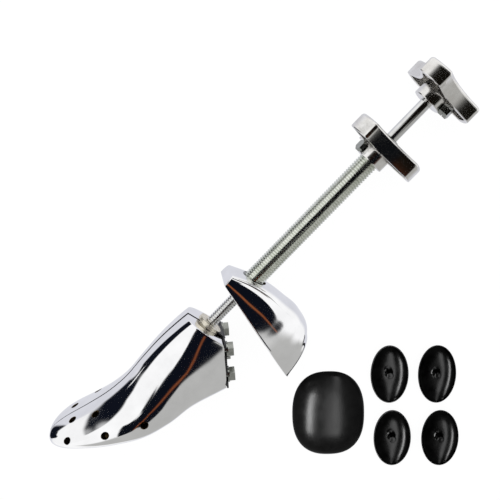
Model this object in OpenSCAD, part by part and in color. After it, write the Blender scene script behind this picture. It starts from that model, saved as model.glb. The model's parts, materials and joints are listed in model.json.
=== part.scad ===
// Two-way shoe stretcher in cast metal, lying on its side, with its instep pad
// and four bunion plugs loose beside it.
// The stretcher is drawn about its spindle: X runs from the toe (minus) to the
// knobs (plus), Y across the two halves, Z towards the instep, with the origin
// on the spindle at the throat. The last module lays it down on the surface.

/* [Last] */
// Length of the last from the throat to the toe
last_len = 146; // [135:1:160]
// Half width across the ball of the foot
ball_half = 36.5; // [34:0.5:40]
// Height of the toe tip above the spindle line
toe_tip_z = 29; // [27:0.5:31]
// Share of the last taken by the rounded toe
toe_round = 0.22; // [0.18:0.01:0.26]
// Gap between the halves at the throat
seam_rear = 2.7; // [2:0.1:3.4]
// Gap between the halves at the toe
seam_toe = 0.6; // [0.4:0.1:1.2]
// Lean of the throat face towards the toe
throat_lean = 8; // [4:1:12]
// Slope of the rear face, from upright
rear_slope = 43.6; // [38:0.2:48]
// Drop of the corner between throat and rear face below the spindle
corner_drop = 11.9; // [11.5:0.1:14]
// Distance of that corner from the origin, towards the toe
corner_back = 0.6; // [0.4:0.1:1]

/* [Peg holes] */
// Diameter of the peg holes for the bunion plugs
peg_hole_d = 5.6; // [5.6:0.1:6]
// Depth of the peg holes
peg_hole_deep = 9; // [7:0.5:10]

/* [Spindle] */
// Diameter of the spindle rod
rod_d = 8.5; // [8:0.1:9]
// Diameter of the coarse drive tube
tube_d = 15; // [14.5:0.1:16]
// Radial clearance of each running fit
run_fit = 0.05; // [0.03:0.01:0.08]
// Clearance where parts pass without touching
free_gap = 0.3; // [0.25:0.05:0.5]
// Clearance where a piece is seated in its own body
seat_gap = 0.02; // [0.01:0.01:0.04]
// Start of the tube inside the heel
tube_start = 29; // [28.5:0.5:31]
// Thickness of a retaining ring
ring_t = 1.2; // [1:0.1:1.5]
// Radial height of the lower retaining ring over the rod
ring_rise = 2.7; // [2:0.1:2.9]
// Radial height of the upper retaining ring over the rod
ring_rise_top = 2; // [1.5:0.1:2.5]

/* [Throat bush] */
// Diameter of the bush flange
flange_d = 19; // [18:0.5:21]
// Thickness of the bush flange
flange_t = 2.8; // [2.2:0.1:3.2]
// Step of the flange face in front of the origin
flange_front = 0.8; // [0.5:0.1:1.2]
// Diameter of the bush barrel
barrel_d = 15; // [14:0.5:16]
// Length of the bush barrel behind the flange
barrel_len = 22; // [18:0.5:22.5]

/* [Rear plate] */
// Thickness of the rear plate
plate_t = 1.3; // [1:0.1:1.6]
// Half width of the rear plate
plate_half = 22; // [21:0.5:23]
// Length of the rear plate down the slope
plate_len = 34; // [33:0.5:36]
// Half width of the tongue that holds the plate to the bush flange
tongue_half = 8; // [6:0.5:9]
// Spread of the bolts from the middle
bolt_y = 16.5; // [16:0.25:17]
// Place of the upper bolts down the slope
bolt_s1 = 5.1; // [4.8:0.1:6]
// Spacing of the bolts down the slope
bolt_pitch = 20.3; // [19:0.1:21]
// Diameter of the plate bolts
bolt_d = 6; // [5:0.1:6.2]
// Size of the bolt head across its flats
bolt_af = 10; // [9:0.5:10.5]
// Height of the bolt head
bolt_head_h = 4; // [3:0.5:5]
// Depth of the bolts in the last
bolt_deep = 14; // [10:0.5:15]
// Diameter of the washers
washer_d = 12; // [11.5:0.5:13]
// Thickness of the washers
washer_t = 1.2; // [0.8:0.1:1.6]

/* [Spreader] */
// Distance of the wedge's rear face from the origin
wedge_back = 30; // [29.5:0.5:31]
// Length of the wedge
wedge_len = 28; // [26:0.5:30]
// Half thickness of the wedge at its rear
wedge_half = 12; // [11.5:0.1:12.5]
// Angle of each wedge ramp
ramp = 20; // [19:0.5:20.5]
// Height of the wedge
wedge_h = 16; // [14:0.5:17]
// Travel of the wedge towards the toe
wedge_travel = 16; // [14:0.5:16]
// Length of the keys on the ramps
key_len = 10; // [8:0.5:10]
// Width of the key's neck
key_neck = 4; // [3:0.5:5]
// Width of the key's head
key_head = 8; // [7:0.5:9]
// Height of the neck, and of the head over it
key_rise = 2.5; // [2:0.1:2.8]
// Diameter of the rod's journal in the wedge
journal_d = 6; // [5.5:0.1:6.5]
// Length of the journal
journal_len = 10; // [9:0.5:11]
// Diameter of the wedge pin
pin_d = 2; // [1.8:0.1:2.2]
// Depth of the journal's groove
groove_deep = 0.8; // [0.6:0.1:1]
// Distance of the pin from the wedge's rear face
pin_in = 6; // [5:0.5:6.5]

/* [Guide dowels] */
// Diameter of the guide dowels
dowel_d = 5; // [4:0.5:5.5]
// Depth of each dowel in the near half
dowel_near = 16; // [14:0.5:17]
// Reach of each dowel in the far half
dowel_far = 17; // [15:0.5:17.5]

/* [Heel] */
// Distance of the heel's front face at the spindle from the origin
heel_front_x = 27.15; // [26.5:0.05:27.8]
// Lean of the heel's front face
heel_lean = 14.2; // [12:0.2:16]
// Diameter of the threaded insert
insert_d = 18; // [17.5:0.5:19]
// Start of the insert behind the tube's start
insert_in = 1.5; // [1:0.1:2]
// Length of the insert
insert_len = 15; // [12:0.5:16]

/* [Knobs] */
// Radius over the knob's lobes
knob_r = 30.2; // [29:0.1:32]
// Radius of the scallops between the lobes
scallop_r = 37.9; // [36:0.1:38.2]
// Distance of the scallop centres from the axis
scallop_at = 54.9; // [54.5:0.1:56]
// Rounding of the lobe corners
lobe_round = 3; // [2.5:0.1:3.5]
// Thickness of the star body
knob_t = 12.6; // [11:0.1:14]
// Wall of the hollow star
knob_wall = 3; // [2.5:0.1:3.4]
// Diameter of the hub
hub_d = 21.6; // [20.5:0.1:23]
// Height of the hub over the star
hub_h = 8.6; // [8:0.1:10]
// Place of the length knob's star along the spindle
knob1_x = 172.6; // [168:0.1:178]
// Place of the width knob's star along the spindle
knob2_x = 228.7; // [225:0.1:235]
// Turn of the length knob
knob1_roll = 26.5; // [0:0.5:119]
// Turn of the width knob
knob2_roll = 168.4; // [120:0.1:239]
// Turn of the hub screw from its lobe
screw_turn = -22.4; // [-30:0.1:-10]
// Diameter of the hub screws
screw_d = 4; // [3:0.5:5]
// Size of the screw heads across their flats
screw_af = 7.6; // [7:0.1:8]
// Height of the screw heads
screw_head_h = 3; // [2.5:0.1:4]

/* [Pad and plugs] */
// Width of the instep pad
pad_w = 58.4; // [54:0.1:62]
// Length of the instep pad
pad_l = 72.6; // [68:0.1:76]
// Height of the instep pad
pad_h = 11; // [9:0.5:13]
// Wall of the instep pad
pad_wall = 2.6; // [2:0.1:3]
// Narrowing of the pad's upper end
pad_taper = 0.02; // [0:0.01:0.08]
// Width of a bunion plug
plug_w = 30.2; // [28:0.1:32]
// Length of a bunion plug
plug_l = 48.8; // [46:0.1:51]
// Height of a bunion plug's rim
plug_h = 6.5; // [5:0.5:8]
// Wall of a bunion plug
plug_wall = 2.2; // [1.8:0.1:2.6]
// Diameter of the plug's peg
peg_d = 5.5; // [5.2:0.1:5.5]
// Height of the peg over the surface that the plug lies on
peg_h = 9.5; // [8:0.5:12]

/* [Lying pose] */
// Roll of the stretcher from upright
lie_roll = 9.804; // [9.7:0.001:9.9]
// Slope of the spindle down towards the knobs
lie_tilt = 0.985; // [0.9:0.001:1.1]
// Height of the spindle's origin above the surface
rest_h = 33.484; // [33.4:0.001:33.6]

/* [Hidden] */
$fn = 64;
// place of the whole on the surface
place = [-47.927, 96.995];
// loose pieces: x, y and turn on the surface
pad_at = [-0.4, -128.1, -45];
plug_at = [[58.3, -137.4, -44], [84.3, -164.6, -44], [21.4, -178.7, -44], [48, -206.7, -44]];

// Sections of the last: share of the length, underside, top, share of the
// half width, squareness of the crown
LAST = [
    [-0.04, -54.0, 16.4, 0.55, 4.2],
    [0.08, -48.0, 18.8, 0.60, 3.8],
    [0.22, -39.5, 20.3, 0.67, 2.9],
    [0.36, -31.0, 19.8, 0.75, 2.3],
    [0.50, -26.0, 18.6, 0.86, 2.0],
    [0.62, -18.0, 20.5, 0.95, 1.9],
    [0.74, -4.5, 25.0, 0.94, 1.9],
    [0.86, 10.5, 30.5, 0.85, 2.0],
    [1.00, 23.5, 35.5, 0.72, 2.2]
];
// rounding of the toe in plan and in height, widest line, sole squareness
toe_plan = 2.5;
toe_height = 2.6;
waist_share = 0.40;
sole_square = 2.9;
// share of a plug's outline that it lies on, and the narrowing of the dish inside its lip
plug_foot = 0.34;
plug_lip = 1.8;
// Peg holes: share of the length, angle up the section
PEGS = [[0.879, 27], [0.714, 16.4], [0.55, 0.4], [0.828, 72], [0.707, 60.6]];
// Guide dowels: place along the spindle and height
DOWELS = [[-14, -20], [-58, -18], [-92, 8]];
// Sections of the heel: height, back, half width, squareness
HEEL = [
    [-66.2, 14.0, 18.5, 2.3],
    [-63.0, 33.0, 22.0, 2.6],
    [-56.0, 45.0, 23.9, 2.8],
    [-44.0, 51.0, 23.5, 2.9],
    [-28.0, 51.5, 21.0, 3.0],
    [-12.0, 50.5, 18.5, 3.2],
    [4.0, 46.8, 16.0, 3.4],
    [17.5, 41.6, 14.2, 3.6]
];

rod_r = rod_d / 2;
tube_r = tube_d / 2;
flange_back = flange_front - flange_t;
barrel_end = flange_back - barrel_len;
wedge_x = -wedge_back;
nose_half = wedge_half - wedge_len * tan(ramp);
groove_r = journal_d / 2 - groove_deep;
pin_off = groove_r + run_fit + pin_d / 2;
groove_w = pin_d + 4 * run_fit;
washer_z = run_fit + plate_t + run_fit;
head_z = washer_z + washer_t + seat_gap;
bolt_s2 = bolt_s1 + bolt_pitch;
half_travel = wedge_travel * tan(ramp);
knob_floor = knob_t - knob_wall - 0.5;
tube_end = knob1_x + knob_t - knob_wall - 0.9;
rod_end = knob2_x + knob_t - knob_wall;
hub_mid = -hub_h / 2;

// slope of a table column at one row, and a smooth curve through the rows
function grad(t, c, i) =
    i == 0 ? (t[1][c] - t[0][c]) / (t[1][0] - t[0][0]) :
    i == len(t) - 1 ? (t[i][c] - t[i - 1][c]) / (t[i][0] - t[i - 1][0]) :
    let (a = t[i][0] - t[i - 1][0], b = t[i + 1][0] - t[i][0])
    (a * a * t[i + 1][c] + (b * b - a * a) * t[i][c] - b * b * t[i - 1][c]) / (a * b * (a + b));
function row_of(t, f) =
    max(0, min(len(t) - 2, len([for (r = t) if (r[0] <= f) r]) - 1));
function curve(t, c, f) =
    let (i = row_of(t, f), h = t[i + 1][0] - t[i][0], u = (f - t[i][0]) / h)
    (2 * u ^ 3 - 3 * u ^ 2 + 1) * t[i][c] + (u ^ 3 - 2 * u ^ 2 + u) * h * grad(t, c, i)
    + (3 * u ^ 2 - 2 * u ^ 3) * t[i + 1][c] + (u ^ 3 - u ^ 2) * h * grad(t, c, i + 1);

// half of the seam gap at a share of the length
function seam(f) = (seam_rear + (seam_toe - seam_rear) * max(0, f)) / 2;
// how far the rounded toe has closed, 1 before it starts and 0 at the tip
function toe_cap(f, p) = (1 - (1 - min(1, max(0, (1 - f) / toe_round))) ^ p) ^ (1 / p);
// point of the far half's skin at a share of the length and an angle
function skin(f, a) =
    let (
        k = toe_cap(f, toe_height),
        zb = toe_tip_z + (curve(LAST, 1, f) - toe_tip_z) * k,
        zt = toe_tip_z + (curve(LAST, 2, f) - toe_tip_z) * k,
        w = max(curve(LAST, 3, f) * ball_half * toe_cap(f, toe_plan), seam(f) + 0.2),
        zc = zb + waist_share * (zt - zb),
        p = a > 0 ? curve(LAST, 4, f) : sole_square,
        s = abs(sin(a)) ^ (2 / p),
        y = seam(f) + (w - seam(f)) * max(0, cos(a)) ^ (2 / p)
    )
    [-f * last_len, y, a > 0 ? zc + (zt - zc) * s : zc - (zc - zb) * s];
function cross3(a, b) =
    [a[1] * b[2] - a[2] * b[1], a[2] * b[0] - a[0] * b[2], a[0] * b[1] - a[1] * b[0]];
function unit(v) = v / norm(v);
// outward normal of the far half's skin
function skin_out(f, a) =
    unit(cross3(skin(f + 0.003, a) - skin(f - 0.003, a), skin(f, a + 0.5) - skin(f, a - 0.5)));

// closed shell through rings of points, every ring with the same count
module loft(rings) {
    n = len(rings[0]);
    m = len(rings);
    points = [for (r = rings) for (p = r) p];
    sides = [
        for (i = [0:m - 2]) for (j = [0:n - 1])
        let (a = i * n + j, b = i * n + (j + 1) % n, c = a + n, d = b + n)
        each [[a, b, d], [a, d, c]]
    ];
    first = [[for (j = [n - 1:-1:0]) j]];
    last = [[for (j = [0:n - 1]) (m - 1) * n + j]];
    polyhedron(points = points, faces = concat(sides, first, last), convexity = 6);
}

// ring positions: even along the last, then closing in round the toe
arc_steps = 22;
body_fs = [for (i = [-1:15]) i * (1 - toe_round) / 15];
toe_fs = [for (t = [9:9:81]) 1 - toe_round * (1 - sin(t))];
last_fs = concat(
    [-0.04],
    [for (f = body_fs) if (f > -0.03) f],
    toe_fs,
    [1 - toe_round * (1 - sin(86))]
);

module half_skin() {
    loft([for (f = last_fs) [for (j = [0:arc_steps]) skin(f, -90 + 180 * j / arc_steps)]]);
}

// frames on the throat face and on the rear face: +Z outwards, +X down the face
module throat_frame() {
    translate([-corner_back, 0, -corner_drop]) rotate([0, 90 - throat_lean, 0]) children();
}
module rear_frame() {
    translate([-corner_back, 0, -corner_drop]) rotate([0, 90 + rear_slope, 0]) children();
}
module along_x(x) {
    translate([x, 0, 0]) rotate([0, 90, 0]) children();
}
// a child at each of the two bolt places of the far half
module at_bolts() {
    rear_frame() for (s = [bolt_s1, bolt_s2]) translate([s, bolt_y, 0]) children();
}

// point beside the wedge ramp: s along it towards the toe, n out of it
function beside_ramp(s, n) =
    [wedge_x - s * cos(ramp) - n * sin(ramp), wedge_half - s * sin(ramp) + n * cos(ramp)];
module ramp_slab(s0, s1, n0, n1, h) {
    linear_extrude(height = h, center = true)
        polygon([beside_ramp(s0, n0), beside_ramp(s1, n0), beside_ramp(s1, n1), beside_ramp(s0, n1)]);
}

// room in the far half for the wedge and its key
module spreader_room() {
    back_s = (wedge_x - barrel_end - 0.5) / cos(ramp);
    slot_end = key_len + wedge_travel / cos(ramp) + free_gap + 0.7;
    linear_extrude(height = wedge_h + 2 * free_gap, center = true) polygon([
        [barrel_end + 0.5, -4],
        beside_ramp(back_s, run_fit),
        beside_ramp(wedge_half / sin(ramp), run_fit),
        [wedge_x - wedge_half / tan(ramp) - 1, -4]
    ]);
    ramp_slab(back_s, slot_end, -1, key_rise, key_neck + 2 * free_gap);
    ramp_slab(back_s, slot_end, key_rise - free_gap, 2 * key_rise + free_gap, key_head + 2 * free_gap);
    // pocket at the rear where the key's head is dropped in
    ramp_slab(back_s, 4, -1, 2 * key_rise + free_gap, key_head + 2 * free_gap);
}

module peg_hole(f, a) {
    p = skin(f, a);
    v = skin_out(f, a);
    turn = atan2(v[1], v[0]);
    fall = acos(v[2]);
    translate(p) rotate([0, fall, turn])
        translate([0, 0, -peg_hole_deep]) cylinder(d = peg_hole_d, h = peg_hole_deep + 6, $fn = 32);
}

// the far half without its dowel holes
module half_body() {
    difference() {
        half_skin();
        throat_frame() translate([-150, -100, 0]) cube([300, 200, 150]);
        rear_frame() translate([-150, -100, 0]) cube([300, 200, 150]);
        along_x(barrel_end - 0.5) cylinder(d = barrel_d + 2 * free_gap, h = 60);
        along_x(flange_back - free_gap) cylinder(d = flange_d + 2 * free_gap, h = 40);
        spreader_room();
        at_bolts() translate([0, 0, -bolt_deep - 0.5]) cylinder(d = bolt_d + 2 * seat_gap, h = bolt_deep + 3);
        for (p = PEGS) peg_hole(p[0], p[1]);
    }
}

module dowel_holes(reach, slack) {
    for (d = DOWELS) translate([d[0], 0, d[1]]) rotate([-90, 0, 0])
        translate([0, 0, -5]) cylinder(d = dowel_d + 2 * slack, h = reach + 5.5, $fn = 48);
}

module lay() {
    translate([place[0], place[1], rest_h]) rotate([0, lie_tilt, 0]) rotate([lie_roll - 90, 0, 0])
        children();
}

module last_half_far() {
    color("gainsboro") lay() difference() {
        half_body();
        dowel_holes(dowel_far, run_fit);
    }
}
module last_half_near() {
    color("whitesmoke") lay() mirror([0, 1, 0]) difference() {
        half_body();
        dowel_holes(dowel_near, seat_gap);
    }
}

module guide_dowels() {
    color("silver") lay() for (d = DOWELS) translate([d[0], -dowel_near, d[1]]) rotate([-90, 0, 0])
        cylinder(d = dowel_d, h = dowel_near + dowel_far, $fn = 48);
}

module spreader_wedge() {
    color("dimgray") lay() difference() {
        union() {
            linear_extrude(height = wedge_h, center = true) polygon([
                [wedge_x, wedge_half], [wedge_x - wedge_len, nose_half],
                [wedge_x - wedge_len, -nose_half], [wedge_x, -wedge_half]
            ]);
            for (side = [0, 1]) mirror([0, side, 0]) {
                ramp_slab(0, key_len, -1, key_rise, key_neck);
                ramp_slab(0, key_len, key_rise, 2 * key_rise, key_head);
            }
        }
        along_x(wedge_x - journal_len - free_gap)
            cylinder(r = journal_d / 2 + run_fit, h = journal_len + free_gap + 2);
        translate([wedge_x - pin_in, pin_off, -wedge_h / 2 - 1])
            cylinder(d = pin_d + 2 * seat_gap, h = wedge_h + 2, $fn = 32);
    }
}

module wedge_pin() {
    color("silver") lay() translate([wedge_x - pin_in, pin_off, -wedge_h / 2])
        cylinder(d = pin_d, h = wedge_h, $fn = 32);
}

module throat_bush() {
    color("cornsilk") lay() difference() {
        union() {
            along_x(flange_back) cylinder(d = flange_d, h = flange_t);
            along_x(barrel_end) cylinder(d = barrel_d, h = barrel_len + 1);
        }
        along_x(barrel_end - 1) cylinder(r = rod_r + run_fit, h = barrel_len + flange_t + 2);
    }
}

module rear_plate() {
    color("black") lay() difference() {
        union() {
            rear_frame() translate([-1, -plate_half, run_fit]) cube([plate_len + 1, 2 * plate_half, plate_t]);
            translate([-corner_back + 0.35, -tongue_half, -corner_drop - 1.6])
                cube([flange_front + corner_back - 0.35, 2 * tongue_half, corner_drop + 1.6 - flange_d / 2 + 4]);
        }
        along_x(-5) cylinder(r = flange_d / 2 + seat_gap, h = 20);
        rear_frame() for (side = [-1, 1], s = [bolt_s1, bolt_s2]) translate([s, side * bolt_y, -1]) {
            cylinder(d = bolt_d + 2 * free_gap, h = plate_t + 4);
            translate([-bolt_d / 2 - free_gap, side > 0 ? 0 : -plate_half, 0])
                cube([bolt_d + 2 * free_gap, plate_half, plate_t + 4]);
        }
    }
}

module bolts() {
    at_bolts() {
        translate([0, 0, -bolt_deep]) cylinder(d = bolt_d, h = bolt_deep + head_z + 0.5);
        translate([0, 0, head_z]) cylinder(d = bolt_af / cos(30), h = bolt_head_h, $fn = 6);
    }
}
module washers() {
    at_bolts() translate([0, 0, washer_z]) difference() {
        cylinder(d = washer_d, h = washer_t);
        translate([0, 0, -1]) cylinder(d = bolt_d + 2 * seat_gap, h = washer_t + 2);
    }
}
module plate_bolts_far() {
    color("lightsteelblue") lay() bolts();
}
module plate_bolts_near() {
    color("lightsteelblue") lay() mirror([0, 1, 0]) bolts();
}
module plate_washers_far() {
    color("silver") lay() washers();
}
module plate_washers_near() {
    color("silver") lay() mirror([0, 1, 0]) washers();
}

module spindle_rod() {
    color("lightgray") lay() difference() {
        union() {
            along_x(wedge_x - journal_len) cylinder(d = journal_d, h = journal_len + 2);
            along_x(wedge_x + 2 * run_fit) cylinder(r = rod_r, h = rod_end - wedge_x - 2 * run_fit);
        }
        along_x(wedge_x - pin_in - groove_w / 2) difference() {
            cylinder(d = journal_d + 2, h = groove_w);
            translate([0, 0, -1]) cylinder(r = groove_r, h = groove_w + 2);
        }
    }
}

module ring_at(x, rise) {
    along_x(x) difference() {
        cylinder(r = rod_r + rise, h = ring_t);
        translate([0, 0, -1]) cylinder(r = rod_r + seat_gap, h = ring_t + 2);
    }
}
module retaining_rings() {
    color("silver") lay() {
        ring_at(tube_start - run_fit - ring_t, ring_rise);
        ring_at(knob1_x + knob_t + run_fit, ring_rise_top);
    }
}

module drive_tube() {
    color("darkseagreen") lay() along_x(tube_start) difference() {
        cylinder(r = tube_r, h = tube_end - tube_start);
        translate([0, 0, -1]) cylinder(r = rod_r + free_gap, h = tube_end - tube_start + 2);
    }
}

// Heel: rings of constant height, flat in front and domed behind
heel_zs = [-66.2, -65.9, -65.3, -64.4, -63, -61, -58.5, -55.5, -52, -48, -43, -37, -31,
    -25, -19, -13, -7, -1, 5, 11, 17.5];
heel_steps = 24;
function heel_point(z, a) =
    let (
        xf = heel_front_x + z * tan(heel_lean),
        xb = curve(HEEL, 1, z),
        w = curve(HEEL, 2, z),
        p = curve(HEEL, 3, z)
    )
    [xf + (xb - xf) * max(0, cos(a)) ^ (2 / p), w * sign(a) * abs(sin(a)) ^ (2 / p), z];
module heel_block() {
    color("gainsboro") lay() difference() {
        loft([for (z = heel_zs) [for (j = [0:heel_steps]) heel_point(z, 90 - 180 * j / heel_steps)]]);
        along_x(0) cylinder(r = tube_r + free_gap + run_fit, h = 80);
        along_x(tube_start + insert_in) cylinder(d = insert_d + 2 * seat_gap, h = 60);
    }
}
module heel_insert() {
    color("gray") lay() along_x(tube_start + insert_in + seat_gap) difference() {
        cylinder(d = insert_d, h = insert_len);
        translate([0, 0, -1]) cylinder(r = tube_r + run_fit, h = insert_len + 2);
    }
}

// Knob outline: lobes, rounded corners and scallops, set in by a distance
function polar(r, a) = [r * cos(a), r * sin(a)];
function bend(c, r, a0, a1, n) = [for (i = [0:n]) c + polar(r, a0 + (a1 - a0) * i / n)];
function near_turn(a, b) = b + 360 * round((a - b) / 360);
function star(inset, rho) =
    let (
        ri = knob_r - inset,
        q = scallop_r + inset,
        rc = ri - rho,
        off = 60 - acos((scallop_at ^ 2 + rc ^ 2 - (q + rho) ^ 2) / (2 * scallop_at * rc))
    )
    [
        for (k = [0:2])
        let (
            b = 120 * k,
            c1 = polar(rc, b - off),
            c2 = polar(rc, b + off),
            s1 = polar(scallop_at, b - 60),
            s2 = polar(scallop_at, b + 60),
            t1 = atan2(s1[1] - c1[1], s1[0] - c1[0]),
            t2 = atan2(s2[1] - c2[1], s2[0] - c2[0]),
            c3 = polar(rc, b + 120 - off),
            u0 = atan2(c2[1] - s2[1], c2[0] - s2[0]),
            u1 = atan2(c3[1] - s2[1], c3[0] - s2[0])
        )
        each concat(
            bend(c1, rho, near_turn(b - off, t1), b - off, 4),
            [for (i = [1:3]) polar(ri, b - off + 2 * off * i / 4)],
            bend(c2, rho, b + off, near_turn(b + off, t2), 4),
            [for (i = [1:11]) s2 + polar(q, u0 + (near_turn(u0, u1) - u0) * i / 12)]
        )
    ];
// turned outline that rounds the lobes' rims: radius, distance along the axis
function rim() = [
    [0, 0], [knob_r - 0.7, 0], [knob_r + 0.1, 0.8], [knob_r + 0.1, knob_t - 2.6],
    [knob_r - 0.5, knob_t - 1.3], [knob_r - 1.5, knob_t - 0.4], [knob_r - 2.8, knob_t], [0, knob_t]
];
// knob with its axis along X, open side at x = 0, one lobe towards +Z
module knob(bore_r, bore_end, through_r) {
    difference() {
        union() {
            difference() {
                rotate([0, 90, 0]) intersection() {
                    translate([0, 0, -1]) rotate([0, 0, 180])
                        linear_extrude(height = knob_t + 2) polygon(star(0, lobe_round));
                    rotate_extrude($fn = 96) polygon(rim());
                }
                translate([-1, 0, 0]) rotate([0, 90, 0]) rotate([0, 0, 180])
                    linear_extrude(height = knob_floor + 1) polygon(star(knob_wall, 1));
            }
            along_x(-hub_h) cylinder(d = hub_d, h = hub_h + knob_floor + 0.2);
        }
        along_x(-hub_h - 1) cylinder(r = bore_r, h = hub_h + 1 + bore_end);
        if (through_r > 0) along_x(0) cylinder(r = through_r, h = knob_t + 5);
        rotate([screw_turn, 0, 0]) translate([hub_mid, 0, 0])
            cylinder(d = screw_d + 2 * seat_gap, h = hub_d, $fn = 32);
    }
}
// screw pressed on the shaft through the hub wall, with or without a nut
module hub_screw(shaft_r, nut) {
    from = shaft_r + seat_gap;
    seat = hub_d / 2 + seat_gap;
    rise = nut ? seat + screw_head_h + 0.6 : seat + 0.4;
    rotate([screw_turn, 0, 0]) translate([hub_mid, 0, 0]) {
        translate([0, 0, from]) cylinder(d = screw_d, h = rise - from + 0.5, $fn = 32);
        translate([0, 0, rise]) cylinder(d = screw_af / cos(30), h = screw_head_h, $fn = 6);
        if (nut) translate([0, 0, seat]) difference() {
            cylinder(d = screw_af / cos(30), h = screw_head_h, $fn = 6);
            translate([0, 0, -1]) cylinder(d = screw_d + 2 * seat_gap, h = screw_head_h + 2, $fn = 32);
        }
    }
}
module at_knob(x, roll) {
    lay() translate([x, 0, 0]) rotate([roll, 0, 0]) children();
}
module length_knob() {
    color("silver") at_knob(knob1_x, knob1_roll)
        knob(tube_r + seat_gap, tube_end - knob1_x + seat_gap, rod_r + free_gap);
}
module length_knob_screw() {
    color("gray") at_knob(knob1_x, knob1_roll) hub_screw(tube_r, false);
}
module width_knob() {
    color("silver") at_knob(knob2_x, knob2_roll) knob(rod_r + seat_gap, rod_end - knob2_x + seat_gap, 0);
}
module width_knob_screw() {
    color("gray") at_knob(knob2_x, knob2_roll) hub_screw(rod_r, true);
}

// Domed pad: an egg outline that shrinks as it rises, hollow beneath
function pad_ring(k, z, w, l) = [
    for (j = [0:35]) let (a = -10 * j, e = 2 / 2.45)
    [
        w / 2 * k * sign(cos(a)) * abs(cos(a)) ^ e * (1 - pad_taper * sin(a)),
        l / 2 * k * sign(sin(a)) * abs(sin(a)) ^ e,
        z
    ]
];
module dome(w, l, h, base) {
    loft(concat(
        [pad_ring(1, base, w, l)],
        [for (t = [10:10:80]) pad_ring(cos(t) ^ 0.8, h * sin(t), w, l)],
        [pad_ring(0.05, h, w, l)]
    ));
}
// a loose piece at its place on the surface
module on_surface(at) {
    translate([place[0] + at[0], place[1] + at[1], 0]) rotate([0, 0, at[2]]) children();
}
module instep_pad() {
    color("black") on_surface(pad_at) difference() {
        dome(pad_w, pad_l, pad_h, 0);
        dome(pad_w - 2 * pad_wall, pad_l - 2 * pad_wall, pad_h - pad_wall, -1);
    }
}

// Bunion plug: an oval dish lying on its crown, with a rim and a centre peg
function oval(k, z, w, l) = [
    for (j = [0:31]) let (a = -11.25 * j) [w / 2 * k * cos(a), l / 2 * k * sin(a), z]
];
module dish(foot, from, top, w, l) {
    loft(concat(
        [oval(foot, from, w, l)],
        [for (t = [20:15:80]) oval(foot + (1 - foot) * sin(t), from + (plug_h - from) * (1 - cos(t)), w, l)],
        [oval(1, top, w, l)]
    ));
}
module bunion_plug() {
    difference() {
        dish(plug_foot, 0, plug_h, plug_w, plug_l);
        dish(plug_foot - 0.1, plug_wall, plug_h + 1, plug_w - plug_lip, plug_l - plug_lip);
    }
    translate([0, 0, plug_wall - 0.5]) cylinder(d = peg_d, h = peg_h - plug_wall + 0.5, $fn = 32);
}
module plug(i) {
    color("black") on_surface(plug_at[i]) bunion_plug();
}
module bunion_plug_1() {
    plug(0);
}
module bunion_plug_2() {
    plug(1);
}
module bunion_plug_3() {
    plug(2);
}
module bunion_plug_4() {
    plug(3);
}

last_half_near();
last_half_far();
guide_dowels();
spreader_wedge();
wedge_pin();
throat_bush();
rear_plate();
plate_bolts_near();
plate_bolts_far();
plate_washers_near();
plate_washers_far();
spindle_rod();
retaining_rings();
width_knob();
width_knob_screw();
drive_tube();
length_knob();
length_knob_screw();
heel_block();
heel_insert();
instep_pad();
bunion_plug_1();
bunion_plug_2();
bunion_plug_3();
bunion_plug_4();
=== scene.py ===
"""A polished two-way shoe stretcher lying on its side, beside its instep pad and four bunion plugs.

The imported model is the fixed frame. Each sub-assembly is a class that holds its sizes in millimetres,
works out its surfaces in the spindle's own axes and lays them in the frame, in metres.
"""
import json
import logging
import math
from dataclasses import dataclass
from enum import Enum
from typing import Any, Optional, Sequence

import bmesh
import bpy
import numpy as np
from mathutils import Matrix, Vector


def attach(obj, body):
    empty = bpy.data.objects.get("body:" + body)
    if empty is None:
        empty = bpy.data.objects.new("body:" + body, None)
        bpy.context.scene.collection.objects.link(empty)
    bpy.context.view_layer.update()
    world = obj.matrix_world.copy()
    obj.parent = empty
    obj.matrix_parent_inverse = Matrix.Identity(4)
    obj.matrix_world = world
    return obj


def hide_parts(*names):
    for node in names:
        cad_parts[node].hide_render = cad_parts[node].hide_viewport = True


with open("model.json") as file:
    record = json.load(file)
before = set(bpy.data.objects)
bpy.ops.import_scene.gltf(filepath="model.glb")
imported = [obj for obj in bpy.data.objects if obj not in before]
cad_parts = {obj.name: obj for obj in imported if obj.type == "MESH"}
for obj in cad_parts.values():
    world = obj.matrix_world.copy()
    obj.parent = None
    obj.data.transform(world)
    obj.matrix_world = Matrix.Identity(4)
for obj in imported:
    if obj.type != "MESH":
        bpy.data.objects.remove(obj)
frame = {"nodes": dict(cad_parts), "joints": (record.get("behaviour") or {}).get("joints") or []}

LOG = logging.getLogger("shoe_stretcher")
MM = 0.001
SHARP_ANGLE = math.radians(32)
# Points closer than this, in the mesh's own unit, are one point.
WELD = 2e-4


def linear(code: str) -> tuple[float, float, float, float]:
    """Turn an sRGB hex code into a linear colour.

    Args:
        code: the colour as "#RRGGBB".

    Returns:
        Red, green, blue and an alpha of one.
    """
    values = np.array([int(code[i:i + 2], 16) for i in (1, 3, 5)]) / 255
    low, high = values / 12.92, ((values + 0.055) / 1.055) ** 2.4
    return (*np.where(values <= 0.04045, low, high).tolist(), 1.0)


def add(
    tree: bpy.types.NodeTree, kind: str, inputs: Optional[dict] = None, **settings: Any
) -> bpy.types.Node:
    """Add a node with its settings, values and links.

    Args:
        tree: the node tree that takes the node.
        kind: the node's type name.
        inputs: socket name or number to a value, or to the output socket that feeds it.
        settings: the node's own properties.

    Returns:
        The new node.
    """
    node = tree.nodes.new(kind)
    for key, value in settings.items():
        setattr(node, key, value)
    for key, value in (inputs or {}).items():
        if isinstance(value, bpy.types.NodeSocket):
            tree.links.new(value, node.inputs[key])
        else:
            node.inputs[key].default_value = value
    return node


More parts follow.
